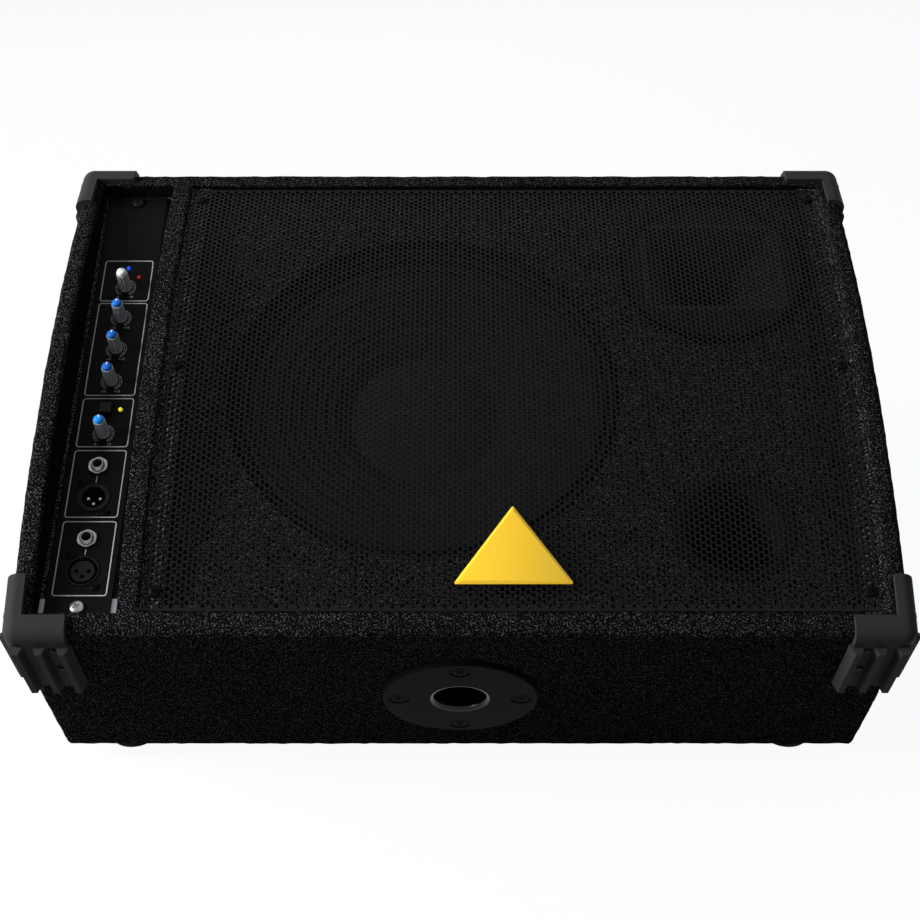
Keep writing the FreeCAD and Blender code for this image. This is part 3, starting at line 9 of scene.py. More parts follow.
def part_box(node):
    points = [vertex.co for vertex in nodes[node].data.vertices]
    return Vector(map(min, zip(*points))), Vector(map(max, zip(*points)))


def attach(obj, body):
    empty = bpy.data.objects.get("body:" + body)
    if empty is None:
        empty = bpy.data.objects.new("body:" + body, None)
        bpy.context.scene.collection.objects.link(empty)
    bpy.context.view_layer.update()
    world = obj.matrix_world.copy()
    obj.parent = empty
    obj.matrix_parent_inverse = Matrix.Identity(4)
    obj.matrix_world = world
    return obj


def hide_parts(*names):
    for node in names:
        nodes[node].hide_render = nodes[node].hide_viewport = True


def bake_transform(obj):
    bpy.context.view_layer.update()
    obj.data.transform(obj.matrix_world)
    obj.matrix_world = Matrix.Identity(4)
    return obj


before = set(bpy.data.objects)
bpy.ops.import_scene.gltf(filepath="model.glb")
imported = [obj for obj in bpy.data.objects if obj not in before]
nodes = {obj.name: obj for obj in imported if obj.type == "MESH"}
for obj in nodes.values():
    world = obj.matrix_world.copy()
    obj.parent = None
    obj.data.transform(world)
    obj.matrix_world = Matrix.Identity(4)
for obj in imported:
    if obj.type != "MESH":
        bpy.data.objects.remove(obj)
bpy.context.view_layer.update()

scene = bpy.context.scene
scene.view_settings.view_transform = "Standard"

# sizes here are in millimetres: x across, v up the front from its lower end, w out of the front
cabinet = {
    "tilt": 30, "originZ": 15, "length": 400, "halfWidth": 290, "board": 12,
    "endDepth": 179, "bow": 23,
}
half = cabinet["length"] / 2
bowRadius = (half**2 + cabinet["bow"] ** 2) / (2 * cabinet["bow"])
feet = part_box("rubber_feet")
originY = (feet[0][1] + feet[1][1]) / 2 - half / math.cos(math.radians(cabinet["tilt"])) / 2000
toRow = (
    Matrix.Translation((0, originY, cabinet["originZ"] / 1000))
    @ Matrix.Rotation(math.radians(cabinet["tilt"]), 4, "X")
    @ Matrix.Scale(0.001, 4)
)
upFront = (toRow.to_3x3() @ Vector((0, 1, 0))).normalized()


def colour(text):
    parts = [int(text[i : i + 2], 16) / 255 for i in (1, 3, 5)]
    return [p / 12.92 if p < 0.04045 else ((p + 0.055) / 1.055) ** 2.4 for p in parts] + [1]


def emptyTree(owner):
    owner.use_nodes = True
    tree = owner.node_tree
    tree.nodes.clear()
    return tree


# one colour over another: each is a colour's text or another node's colour
def mixedColour(tree, factor, under, over):
    mix = tree.nodes.new("ShaderNodeMix")
    mix.data_type = "RGBA"
    tree.links.new(factor, mix.inputs["Factor"])
    for name, value in (("A", under), ("B", over)):
        if isinstance(value, str):
            mix.inputs[name].default_value = colour(value)
        else:
            tree.links.new(value, mix.inputs[name])
    return mix.outputs["Result"]


# one maker for every finish: a colour that wanders, specks, and a grain in the gloss and in the surface
def makeFinish(name, look):
    material = bpy.data.materials.new(name)
    tree = emptyTree(material)
    add, link = tree.nodes.new, tree.links.new
    out = add("ShaderNodeOutputMaterial")
    shader = add("ShaderNodeBsdfPrincipled")
    link(shader.outputs[0], out.inputs[0])
    shader.inputs["Metallic"].default_value = look.get("metal", 0)
    shader.inputs["Specular IOR Level"].default_value = look.get("specular", 0.4)
    shader.inputs["Coat Weight"].default_value = look.get("coat", 0)
    shader.inputs["Coat Roughness"].default_value = 0.12
    if "glow" in look:
        shader.inputs["Emission Color"].default_value = colour(look["base"])
        shader.inputs["Emission Strength"].default_value = look["glow"]

    place = add("ShaderNodeTexCoord").outputs["Object"]
    stretch = add("ShaderNodeMapping")
    stretch.inputs["Scale"].default_value = look.get("stretch", (1, 1, 1))
    link(place, stretch.inputs[0])
    clouds = []
    patches = look.get("patchScale", 40), 3, 0.5
    grains = look["grainScale"], look.get("grainDetail", 4), 0.6
    for values in (patches, grains):
        cloud = add("ShaderNodeTexNoise")
        link(stretch.outputs[0], cloud.inputs["Vector"])
        for socket, value in zip(("Scale", "Detail", "Roughness"), values):
            cloud.inputs[socket].default_value = value
        clouds.append(cloud.outputs["Fac"])
    broad, grain = clouds

    painted = mixedColour(tree, broad, look["base"], look.get("patch", look["base"]))
    if "speck" in look:
        ramp = add("ShaderNodeValToRGB")
        ramp.color_ramp.elements[0].position = look["speckFrom"]
        ramp.color_ramp.elements[1].position = look["speckTo"]
        link(grain, ramp.inputs[0])
        painted = mixedColour(tree, ramp.outputs["Color"], painted, look["speck"])
    if "painted" in look:
        along = add("ShaderNodeVectorMath")
        along.operation = "DOT_PRODUCT"
        along.inputs[1].default_value = upFront
        above = add("ShaderNodeMath")
        above.operation = "GREATER_THAN"
        above.inputs[1].default_value = (toRow @ Vector((0, look["paintedAbove"], 0))).dot(upFront)
        link(place, along.inputs[0])
        link(along.outputs["Value"], above.inputs[0])
        painted = mixedColour(tree, above.outputs[0], painted, look["painted"])
    link(painted, shader.inputs["Base Color"])

    gloss = add("ShaderNodeMapRange")
    gloss.inputs["To Min"].default_value, gloss.inputs["To Max"].default_value = look["rough"]
    link(broad, gloss.inputs["Value"])
    link(gloss.outputs[0], shader.inputs["Roughness"])

    bump = add("ShaderNodeBump")
    bump.inputs["Strength"].default_value = look.get("bump", 0.3)
    bump.inputs["Distance"].default_value = look["grainDepth"] / 1000
    link(grain, bump.inputs["Height"])
    link(bump.outputs[0], shader.inputs["Normal"])
    return material


felt = {
    "patchScale": 30, "grainScale": 900, "grainDepth": 1, "bump": 0.8, "rough": (0.92, 1.0), "specular": 0,
}
knobCap = {
    "patchScale": 250, "grainScale": 4000, "grainDepth": 0.02, "rough": (0.36, 0.48), "specular": 0.2,
}
lampLens = {"grainScale": 3000, "grainDepth": 0.01, "rough": (0.15, 0.25), "specular": 0.3}
finishLooks = {
    "carpetPile": {
        **felt, "base": "#080809", "patch": "#0e0e0f",
        "speck": "#6c6c70", "speckFrom": 0.53, "speckTo": 0.72,
        "patchScale": 25, "grainScale": 950, "grainDetail": 5, "grainDepth": 1.2, "bump": 0.9,
    },
    # painted light: a lighter copy of the carpet, with bright specks, for the boards behind the grille,
    # standing in for light that reaches there
    "carpetInsidePaintedLight": {
        **felt, "base": "#0d0d0e", "patch": "#151516",
        "speck": "#a2a2a8", "speckFrom": 0.51, "speckTo": 0.7, "grainDetail": 5,
    },
    # painted shade: a darker copy of the carpet, with dim specks, for the side and end boards seen in the
    # gaps
    "carpetEdgePaintedShade": {
        **felt, "base": "#080809", "patch": "#0c0c0d",
        "speck": "#38383b", "speckFrom": 0.53, "speckTo": 0.72,
    },
    "particleBoard": {
        "base": "#9a7b55", "patch": "#7d6242", "speck": "#c2a67c", "speckFrom": 0.5, "speckTo": 0.7,
        "patchScale": 60, "grainScale": 320, "grainDepth": 0.3, "rough": (0.7, 0.9), "stretch": (0.5, 1, 1),
    },
    "grilleSteel": {
        "base": "#131314", "patch": "#171718", "patchScale": 14, "grainScale": 1500, "grainDepth": 0.05,
        "rough": (0.42, 0.55), "specular": 0.05,
    },
    "guardPlastic": {
        "base": "#2d2d2e", "patch": "#333334", "patchScale": 30, "grainScale": 1400, "grainDepth": 0.12,
        "rough": (0.46, 0.6), "specular": 0.012, "bump": 0.5,
    },
    "blackPlastic": {
        "base": "#0b0b0c", "patch": "#101011", "patchScale": 45, "grainScale": 1800, "grainDepth": 0.05,
        "rough": (0.36, 0.5), "specular": 0.08,
    },
    "panelPaint": {
        "base": "#0a0a0b", "patch": "#0e0e0f", "patchScale": 50, "grainScale": 2600, "grainDepth": 0.03,
        "rough": (0.42, 0.55), "specular": 0.03,
    },
    "panelPrint": {
        "base": "#b4b5b7", "patch": "#a6a7aa", "patchScale": 200, "grainScale": 3000, "grainDepth": 0.01,
        "rough": (0.55, 0.7), "specular": 0.2,
    },
    "knobGrey": {
        "base": "#9b9fa3", "patch": "#a9adb1", "patchScale": 300, "grainScale": 4000, "grainDepth": 0.03,
        "rough": (0.45, 0.58), "specular": 0.25,
    },
    "knobWhite": {
        "base": "#e2e3e4", "patch": "#d4d5d7", "patchScale": 300, "grainScale": 4000, "grainDepth": 0.02,
        "rough": (0.4, 0.55), "specular": 0.25,
    },
    "knobBlue": {**knobCap, "base": "#0d5fbd", "patch": "#126bcd"},
    "knobSky": {**knobCap, "base": "#0e86ee", "patch": "#1793f6"},
    "badgeYellow": {
        "base": "#f3c327", "patch": "#f7cd38", "patchScale": 12, "grainScale": 2500, "grainDepth": 0.01,
        "rough": (0.3, 0.42), "specular": 0.2, "coat": 0.15,
    },
    "nickel": {
        "base": "#8b8b8d", "patch": "#79797b", "patchScale": 300, "grainScale": 3500, "grainDepth": 0.02,
        "rough": (0.3, 0.42), "metal": 1, "stretch": (1, 1, 4), "bump": 0.03,
    },
    "zincSteel": {
        "base": "#77797b", "patch": "#85878a", "patchScale": 90, "grainScale": 900, "grainDepth": 0.03,
        "rough": (0.35, 0.55), "metal": 1,
    },
    "blackSteel": {
        "base": "#0c0c0d", "patch": "#121213", "patchScale": 220, "grainScale": 3000, "grainDepth": 0.02,
        "rough": (0.3, 0.45), "specular": 0.06,
    },
    "basketPaint": {
        "base": "#101011", "patch": "#161617", "patchScale": 60, "grainScale": 1200, "grainDepth": 0.06,
        "rough": (0.4, 0.55), "specular": 0.04,
    },
    "conePaper": {
        "base": "#303031", "patch": "#353537", "speck": "#404042", "speckFrom": 0.5, "speckTo": 0.8,
        "patchScale": 60, "grainScale": 800, "grainDepth": 0.12, "rough": (0.5, 0.66), "specular": 0.02,
    },
    "capPaper": {
        "base": "#363637", "patch": "#3a3a3b", "patchScale": 50, "grainScale": 1200, "grainDepth": 0.06,
        "rough": (0.42, 0.55), "specular": 0.02,
    },
    "surroundCloth": {
        "base": "#28282a", "patch": "#2e2e30", "patchScale": 80, "grainScale": 1500, "grainDepth": 0.08,
        "rough": (0.4, 0.55), "specular": 0.06,
    },
    "hornPlastic": {
        "base": "#0e0e0f", "patch": "#131314", "patchScale": 40, "grainScale": 1500, "grainDepth": 0.05,
        "rough": (0.36, 0.5), "specular": 0.08,
    },
    # painted light: a lighter copy of the horn's black plastic for the inside of the horn bell and the port
    # tube, standing in for light falling inside them
    "insidePlasticPaintedLight": {
        "base": "#454546", "patch": "#4b4b4c", "patchScale": 30, "grainScale": 1500, "grainDepth": 0.04,
        "rough": (0.45, 0.58), "specular": 0.05,
    },
    "screwBlack": {
        "base": "#040404", "patch": "#070707", "patchScale": 200, "grainScale": 3000, "grainDepth": 0.02,
        "rough": (0.35, 0.5), "specular": 0.03,
    },
    "spiderCloth": {
        "base": "#b98436", "patch": "#a87529", "patchScale": 120, "grainScale": 1300, "grainDepth": 0.15,
        "rough": (0.8, 0.95),
    },
    "copperWire": {
        "base": "#b5672f", "patch": "#9d5524", "patchScale": 120, "grainScale": 900, "grainDepth": 0.15,
        "rough": (0.28, 0.42), "metal": 0.9, "stretch": (1, 1, 5),
    },
    "ferrite": {
        "base": "#2c2c2e", "patch": "#353537", "patchScale": 70, "grainScale": 1500, "grainDepth": 0.08,
        "rough": (0.55, 0.75), "specular": 0.2,
    },
    "footRubber": {
        "base": "#0a0a0a", "patch": "#101010", "patchScale": 60, "grainScale": 1600, "grainDepth": 0.1,
        "rough": (0.75, 0.9), "specular": 0.1,
    },
    "circuitLacquer": {
        "base": "#14512a", "patch": "#1a5f33", "speck": "#3f8a55", "speckFrom": 0.6, "speckTo": 0.7,
        "patchScale": 150, "grainScale": 700, "grainDepth": 0.03, "rough": (0.25, 0.4),
    },
    "sinkAluminium": {
        "base": "#161617", "patch": "#1c1c1e", "patchScale": 60, "grainScale": 1500, "grainDepth": 0.04,
        "rough": (0.4, 0.55), "metal": 0.3, "specular": 0.2, "stretch": (1, 3, 3),
    },
    "rockerRed": {
        "base": "#a3120f", "patch": "#b51a15", "patchScale": 150, "grainScale": 3000, "grainDepth": 0.02,
        "rough": (0.22, 0.34), "specular": 0.3, "coat": 0.2,
    },
    "socketPlastic": {
        "base": "#0b0b0c", "patch": "#0e0e0f", "patchScale": 40, "grainScale": 1800, "grainDepth": 0.03,
        "rough": (0.4, 0.5), "specular": 0.0095,
    },
    "tubePlastic": {
        "base": "#0b0b0c", "patch": "#0e0e0f", "patchScale": 40, "grainScale": 1800, "grainDepth": 0.01,
        "rough": (0.16, 0.24), "specular": 0.22, "bump": 0.1,
    },
    "connectorPlastic": {
        "base": "#18181a", "patch": "#1d1d1f", "patchScale": 200, "grainScale": 2500, "grainDepth": 0.02,
        "rough": (0.4, 0.52), "specular": 0.05,
    },
    "chassisSteel": {
        "base": "#77797b", "patch": "#85878a", "painted": "#0d0d0e", "paintedAbove": 31,
        "patchScale": 90, "grainScale": 900, "grainDepth": 0.03, "rough": (0.35, 0.55), "metal": 1,
    },
    "lampBlue": {**lampLens, "base": "#1250e6", "patch": "#1a5cf0", "glow": 0.7},
    "lampRed": {**lampLens, "base": "#93140f", "patch": "#a11a14", "glow": 0.25},
    "lampYellow": {**lampLens, "base": "#e6e01c", "patch": "#efe92a", "glow": 0.7},
}
finishes = {name: makeFinish(name, look) for name, look in finishLooks.items()}
print("finishes made:", len(finishes))


# shapes are (points, faces) pairs until a piece is made of them
def lathe(profile, steps=48, ripple=None, closed=False):
    points = []
    rings = []
    for radius, height in profile:
        if radius == 0:
            rings.append([len(points)])
            points.append((0, 0, height))
            continue
        rings.append(list(range(len(points), len(points) + steps)))
        for i in range(steps):
            turn = 2 * math.pi * i / steps
            r = radius + (ripple(turn, height) if ripple else 0)
            points.append((r * math.cos(turn), r * math.sin(turn), height))
    faces = []
    pairs = list(zip(rings, rings[1:])) + ([(rings[-1], rings[0])] if closed else [])
    for low, high in pairs:
        for i in range(steps):
            j = (i + 1) % steps
            if len(low) == 1 and len(high) == 1:
                continue
            if len(low) == 1:
                faces.append((low[0], high[j], high[i]))
            elif len(high) == 1:
                faces.append((low[i], low[j], high[0]))
            else:
                faces.append((low[i], low[j], high[j], high[i]))
    return points, faces


# rings with as many points each, joined one to the next
def loft(rings, closed=False, caps=False):
    steps = len(rings[0])
    points = [p for ring in rings for p in ring]
    faces = []
    count = len(rings)
    for k in range(count if closed else count - 1):
        a = k * steps
        b = ((k + 1) % count) * steps
        for i in range(steps):
            j = (i + 1) % steps
            faces.append((a + i, a + j, b + j, b + i))
    if caps:
        faces += [tuple(reversed(range(steps))), tuple(range((count - 1) * steps, count * steps))]
    return points, faces


def circle(radius, steps, start=0):
    turns = [start + 2 * math.pi * i / steps for i in range(steps)]
    return [(radius * math.cos(turn), radius * math.sin(turn)) for turn in turns]


# the flat band between two outlines, raised from low to high
def band(outer, inner, low, high):
    loops = ((outer, low), (outer, high), (inner, high), (inner, low))
    return loft([[(x, y, level) for x, y in outline] for outline, level in loops], closed=True)


def arcBand(radius, width, start, end, low, high, steps=30):
    rings = []
    for i in range(steps + 1):
        turn = math.radians(start + (end - start) * i / steps)
        near, far = radius - width / 2, radius + width / 2
        corners = ((near, low), (far, low), (far, high), (near, high))
        rings.append([(r * math.sin(turn), r * math.cos(turn), level) for r, level in corners])
    return loft(rings, caps=True)


def bar(x, y, z):
    corners = [(x[0], y[0]), (x[1], y[0]), (x[1], y[1]), (x[0], y[1])]
    return slab(corners, *z)


def slab(outline, low, high):
    n = len(outline)
    points = [(x, y, low) for x, y in outline] + [(x, y, high) for x, y in outline]
    faces = [tuple(reversed(range(n))), tuple(range(n, 2 * n))]
    faces += [(i, (i + 1) % n, n + (i + 1) % n, n + i) for i in range(n)]
    return points, faces


def moved(shape, matrix):
    points, faces = shape
    return [tuple(matrix @ Vector(p)) for p in points], faces


def at(x, v, w):
    return Matrix.Translation((x, v, w))


def joined(shapes):
    points = []
    faces = []
    for somePoints, someFaces in shapes:
        start = len(points)
        points += somePoints
        faces += [tuple(start + i for i in face) for face in someFaces]
    return points, faces


def inScene(name, data):
    made = bpy.data.objects.new(name, data)
    scene.collection.objects.link(made)
    return made


def meshOf(name, shape, matrix=Matrix(), turnOut=True):
    mesh = bpy.data.meshes.new(name)
    mesh.from_pydata(shape[0], [], shape[1])
    mesh.transform(matrix)
    if turnOut:
        bm = bmesh.new()
        bm.from_mesh(mesh)
        bmesh.ops.recalc_face_normals(bm, faces=bm.faces)
        bm.to_mesh(mesh)
        bm.free()
    return mesh


# the other way: the shape of an object with its modifiers in force
def shapeOf(item):
    solid = bpy.data.meshes.new_from_object(item.evaluated_get(bpy.context.evaluated_depsgraph_get()))
    return [tuple(v.co) for v in solid.vertices], [tuple(f.vertices) for f in solid.polygons]


def piece(name, shape, finish, body="cabinet", matrix=toRow, sharp=35, stands=(), slot=None, turnOut=True):
    mesh = meshOf(name, shape, matrix, turnOut)
    mesh.materials.append(finishes[finish])
    mesh.shade_smooth()
    mesh.set_sharp_from_angle(angle=math.radians(sharp))
    made = inScene(name, mesh)
    if body:
        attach(made, body)
    if stands:
        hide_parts(*stands)
    return made


def roundedRectangle(width, height, radius, steps=6):
    outline = []
    for k, (sx, sy) in enumerate(((1, 1), (-1, 1), (-1, -1), (1, -1))):
        for i in range(steps + 1):
            turn = math.pi / 2 * (k + i / steps)
            x = sx * (width / 2 - radius) + radius * math.cos(turn)
            outline.append((x, sy * (height / 2 - radius) + radius * math.sin(turn)))
    return outline


# a spot on the bowed front: x across, s along the bow from its middle, and a depth under the rim
def bowSpot(x, s, depth):
    turn = s / bowRadius
    reach = bowRadius - depth
    base = cabinet["endDepth"] + cabinet["bow"] - bowRadius
    return x, half + reach * math.sin(turn), base + reach * math.cos(turn)


def bowMatrix(x, v, depth):
    s = bowRadius * math.asin((v - half) / bowRadius)
    turn = -s / bowRadius
    return at(*bowSpot(x, s, depth)) @ Matrix.Rotation(turn, 4, "X")


grille = {
    "low": -203, "high": 271.5, "reach": 185.3, "drop": 3, "thick": 1.2,
    "pitchX": 3.4, "pitchV": 4.6, "open": 0.8, "columns": 139, "rows": 80,
    "sheets": {"grilleLeft": (0, 46), "grilleMiddle": (46, 92), "grilleRight": (92, 139)},
}


# a honeycomb of six-sided holes; three steps across and two along take one cell to the next
def grilleSheet(name, first, last):
    g = grille
    stepX, stepV = g["pitchX"] / 3, g["pitchV"] / 2
    lastAcross, lastAlong = 3 * (g["columns"] - 1), 2 * (g["rows"] - 1)
    middleX = (g["low"] + g["high"]) / 2
    points = []
    skin = []
    known = {}

    def spot(across, along):
        x = middleX + (across - lastAcross / 2) * stepX
        s = (along - lastAlong / 2) * stepV
        x = min(max(x, g["low"]), g["high"])
        s = min(max(s, -g["reach"]), g["reach"])
        points.append(bowSpot(x, s, g["drop"]))
        points.append(bowSpot(x, s, g["drop"] + g["thick"]))
        return len(points) - 2

    def corner(across, along):
        if (across, along) not in known:
            known[across, along] = spot(across, along)
        return known[across, along]

    cellCorners = ((2, 0), (1, 1), (-1, 1), (-2, 0), (-1, -1), (1, -1))
    cellsAround = ((3, 1), (0, 2), (-3, 1), (-3, -1), (0, -2), (3, -1))
    for column in range(first, last):
        for row in range(g["rows"] - column % 2):
            across, along = 3 * column, 2 * row + column % 2
            places = [(across + dx, along + dv) for dx, dv in cellCorners]
            outer = [corner(*place) for place in places]
            inner = [spot(across + dx * g["open"], along + dv * g["open"]) for dx, dv in cellCorners]
            for k in range(6):
                j = (k + 1) % 6
                skin.append((inner[k], outer[k], outer[j], inner[j]))
                beyond = across + cellsAround[k][0], along + cellsAround[k][1]
                (ax, av), (bx, bv) = places[k], places[j]
                # where no cell follows, the plain margin runs out to the plate's edge
                if not 0 <= beyond[0] <= lastAcross:
                    side = math.copysign(math.inf, beyond[0])
                    skin.append((outer[k], outer[j], corner(side, bv), corner(side, av)))
                elif not 0 <= beyond[1] <= lastAlong:
                    end = math.copysign(math.inf, beyond[1])
                    skin.append((outer[k], outer[j], corner(bx, end), corner(ax, end)))
    plateCorners = []
    if first == 0:
        plateCorners.append((-1, -math.inf))
    if last == g["columns"]:
        plateCorners.append((lastAcross + 1, math.inf))
    for across, side in plateCorners:
        for along, end in ((-1, -math.inf), (lastAlong + 1, math.inf)):
            places = (across, along), (side, along), (side, end), (across, end)
            skin.append(tuple(corner(*place) for place in places))
    uses = Counter(frozenset(pair) for face in skin for pair in zip(face, face[1:] + face[:1]))
    faces = skin + [tuple(point + 1 for point in reversed(face)) for face in skin]
    rims = [tuple(edge) for edge, times in uses.items() if times == 1]
    faces += [(a, b, b + 1, a + 1) for a, b in rims]
    return piece(name, (points, faces), "grilleSteel", sharp=25, stands=("grille",))


for name, (first, last) in grille["sheets"].items():
    grilleSheet(name, first, last)
print("grille punched:", grille["columns"], "columns")


carpet = {
    "step": 5, "lump": 0.45, "lumpScale": 0.12, "curl": 0.35, "curlScale": 0.4, "thick": 2,
    "ranges": ((-290, 290), (0, 400), (-115, 205)),
}


# the outer side of the covering, gridded finely and roughened like needle felt
def carpetCovering():
    mesh = nodes["carpet_covering"].data.copy()
    mesh.transform(toRow.inverted())
    bm = bmesh.new()
    bm.from_mesh(mesh)
    bmesh.ops.remove_doubles(bm, verts=bm.verts, dist=0.01)
    tilt = math.radians(cabinet["tilt"])
    slope = math.tan(tilt)
    inner = carpet["thick"] + 0.05

    def hidden(face):
        c = face.calc_center_median()
        n = face.normal
        side = abs(abs(c.x) - (cabinet["halfWidth"] - carpet["thick"])) < 0.05 and abs(n.x) > 0.9
        floor = abs((c.z + c.y * slope) * math.cos(tilt) - carpet["thick"]) < 0.05
        rise = cabinet["length"] - c.y
        back = abs((c.z + rise * slope) * math.cos(tilt) - carpet["thick"]) < 0.05
        end = min(abs(c.y - carpet["thick"]), abs(rise - carpet["thick"])) < 0.05 and abs(n.y) > 0.9
        front = c.z > cabinet["endDepth"] - 30 and n.z < -0.5
        within = abs(c.x) < cabinet["halfWidth"] - inner
        return side or end or front or within and (floor or back) and abs(n.x) < 0.1

    bmesh.ops.delete(bm, geom=[f for f in bm.faces if hidden(f)], context="FACES")
    for axis, (low, high) in enumerate(carpet["ranges"]):
        normal = Matrix.Identity(3)[axis]
        for k in range(1, int((high - low) / carpet["step"])):
            level = normal * (low + k * carpet["step"])
            everything = bm.verts[:] + bm.edges[:] + bm.faces[:]
            bmesh.ops.bisect_plane(bm, geom=everything, dist=0.05, plane_co=level, plane_no=normal)
    bmesh.ops.remove_doubles(bm, verts=bm.verts, dist=0.05)
    bm.normal_update()
    shifts = []
    for vertex in bm.verts:
        lump = noise.noise(vertex.co * carpet["lumpScale"]) * carpet["lump"]
        curl = noise.noise(vertex.co * carpet["curlScale"] + Vector((9, 9, 9))) * carpet["curl"]
        shifts.append(vertex.normal * (lump + curl) if not vertex.is_boundary else Vector())
    for vertex, shift in zip(bm.verts, shifts):
        vertex.co += shift
    bm.to_mesh(mesh)
    bm.free()
    mesh.transform(toRow)
    mesh.materials.clear()
    mesh.materials.append(finishes["carpetPile"])
    mesh.shade_smooth()
    made = inScene("carpetFelt", mesh)
    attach(made, "cabinet")
    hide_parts("carpet_covering")
    print("carpet laid:", len(mesh.polygons), "faces")


carpetCovering()


# woofer: turned about its own axis, with w as height
woofer = {"x": -26, "v": 200, "steps": 144}
wooferAxis = toRow @ at(woofer["x"], woofer["v"], 0)

cone = {
    "neck": (33, 125), "edge": (119, 158), "lip": 124, "skin": 1.2,
    "ribs": (66, 74, 82, 90, 98, 106), "ribWidth": 3.4, "ribHeight": 0.8,
}


def coneHeight(radius):
    (nearRadius, low), (farRadius, high) = cone["neck"], cone["edge"]
    return low + (high - low) * (radius - nearRadius) / (farRadius - nearRadius)


def wooferCone():
    top = [cone["neck"]]
    for rib in cone["ribs"]:
        for i in range(7):
            r = rib + cone["ribWidth"] * (i / 6 - 0.5)
            top.append((r, coneHeight(r) + cone["ribHeight"] * math.sin(math.pi * i / 6)))
    top += [cone["edge"], (cone["lip"], cone["edge"][1])]
    rimHeight = cone["edge"][1]
    under = [(r, h - cone["skin"]) for r, h in ((cone["lip"], rimHeight), (119.6, rimHeight), cone["neck"])]
    shape = lathe(top + under, woofer["steps"], closed=True)
    piece("conePaper", shape, "conePaper", "cone", wooferAxis, 60, ("woofer_cone",), "cone_paper")


cap = {"radius": 54, "base": 133.06, "rise": 12, "skin": 1, "flange": 1.6}


def dustCap():
    steps = 14
    reach = (cap["radius"] ** 2 + cap["rise"] ** 2) / (2 * cap["rise"])
    full = math.asin(cap["radius"] / reach)
    dome = []
    for i in range(steps + 1):
        turn = full * (1 - i / steps)
        dome.append((reach * math.sin(turn), cap["base"] + cap["rise"] - reach * (1 - math.cos(turn))))
    under = [(r * 0.98, h - cap["skin"]) for r, h in reversed(dome)]
    shape = lathe(dome[:-1] + [(0, dome[-1][1])], woofer["steps"])
    inside = lathe([(0, under[0][1])] + under[1:], woofer["steps"])
    shape = joined([shape, inside])
    piece("dustCap", shape, "capPaper", "cone", wooferAxis, 50, ("woofer_dust_cap",), "cone_paper")


def surroundRoll(start):
    return [(start + 7 * i / 8, 158.4 + 5.2 * math.sin(math.pi * i / 8) ** 0.7) for i in range(1, 8)]


flexRings = {
    "surround": {
        "finish": "surroundCloth", "node": "woofer_surround", "slot": "surround_rubber",
        "inner": 125, "outer": 139, "sectors": 16, "skin": 1.1,
        "path": [
            (119, 158.3), (125, 158.4), *surroundRoll(125), (132, 158.9), *surroundRoll(132),
            (139, 158.3), (139.6, 157.2), (145.4, 157.1),
        ],
    },
    "spider": {
        "finish": "spiderCloth", "node": "woofer_spider", "slot": "spider_cloth",
        "inner": 36, "outer": 88, "sectors": 12, "skin": 0.9,
        "path": [(33.4 + 59.4 * i / 60, 120.1 + 0.9 * math.sin(math.pi * i / 5)) for i in range(61)],
    },
}


# a ring made in sectors, each lofted along the ring's path for its share of the turn
def flexRing(name, ring):
    count = ring["sectors"]
    steps = 144 // count
    for k in range(count):
        rings = []
        for i in range(steps + 1):
            turn = 2 * math.pi * (k + i / steps) / count
            loop = ring["path"] + [(r, h + ring["skin"]) for r, h in reversed(ring["path"])]
            rings.append([(r * math.cos(turn), r * math.sin(turn), h) for r, h in loop])
        shape = loft(rings)
        middleTurn = 2 * math.pi * (k + 0.5) / count
        sector = f"{name}Sector{k + 1}"
        made = piece(sector, shape, ring["finish"], None, wooferAxis, 60, (ring["node"],), ring["slot"])
        ends = [
            tuple(wooferAxis @ Vector((r * math.cos(middleTurn), r * math.sin(middleTurn), 158)))
            for r in (ring["outer"], ring["inner"])
        ]
        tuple(ends[0])
        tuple(ends[1])
        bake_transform(made)


wooferCone()
dustCap()
for name, ring in flexRings.items():
    flexRing(name, ring)
print("woofer cone, cap, surround and spider made")


panel = {
    "x": -250, "right": -210, "top": 171, "ink": 0.06, "letter": 0.02,
    "line": 0.75, "width": 36.4, "corner": 2.4,
    "frames": ((319.1, 279.8), (278.1, 193.5), (191.4, 149.5), (147, 92.2), (89.4, 32.2)),
    "leads": ((125.6, 120.4), (67.6, 63.2)), "lead": 0.35,
    "scaleRadii": (6, 7.4), "scaleLine": 0.3, "number": 2.9, "numberAside": 4.8, "numberUnder": 8.8,
}
knobs = {
    "level": {"v": 292.7, "cap": "knobWhite", "pointer": "knobGrey", "numbers": ("0", "10")},
    "treble": {"v": 263.7, "cap": "knobBlue", "pointer": "knobWhite", "numbers": ("-15", "+15")},
    "mid": {"v": 234.9, "cap": "knobBlue", "pointer": "knobWhite", "numbers": ("-15", "+15")},
    "bass": {"v": 206.1, "cap": "knobBlue", "pointer": "knobWhite", "numbers": ("-15", "+15")},
    "filter": {"v": 160.8, "cap": "knobSky", "pointer": "knobWhite", "numbers": ("0", "10")},
}


def printedNumber(text, x, v, height):
    curve = bpy.data.curves.new("printedNumber", "FONT")
    curve.body = text
    curve.size = height
    curve.align_x = "CENTER"
    curve.align_y = "CENTER"
    curve.extrude = panel["letter"]
    curve.resolution_u = 3
    item = inScene("printedNumber", curve)
    shape = shapeOf(item)
    bpy.data.objects.remove(item)
    return moved(shape, at(x, v, panel["top"] + panel["letter"]))


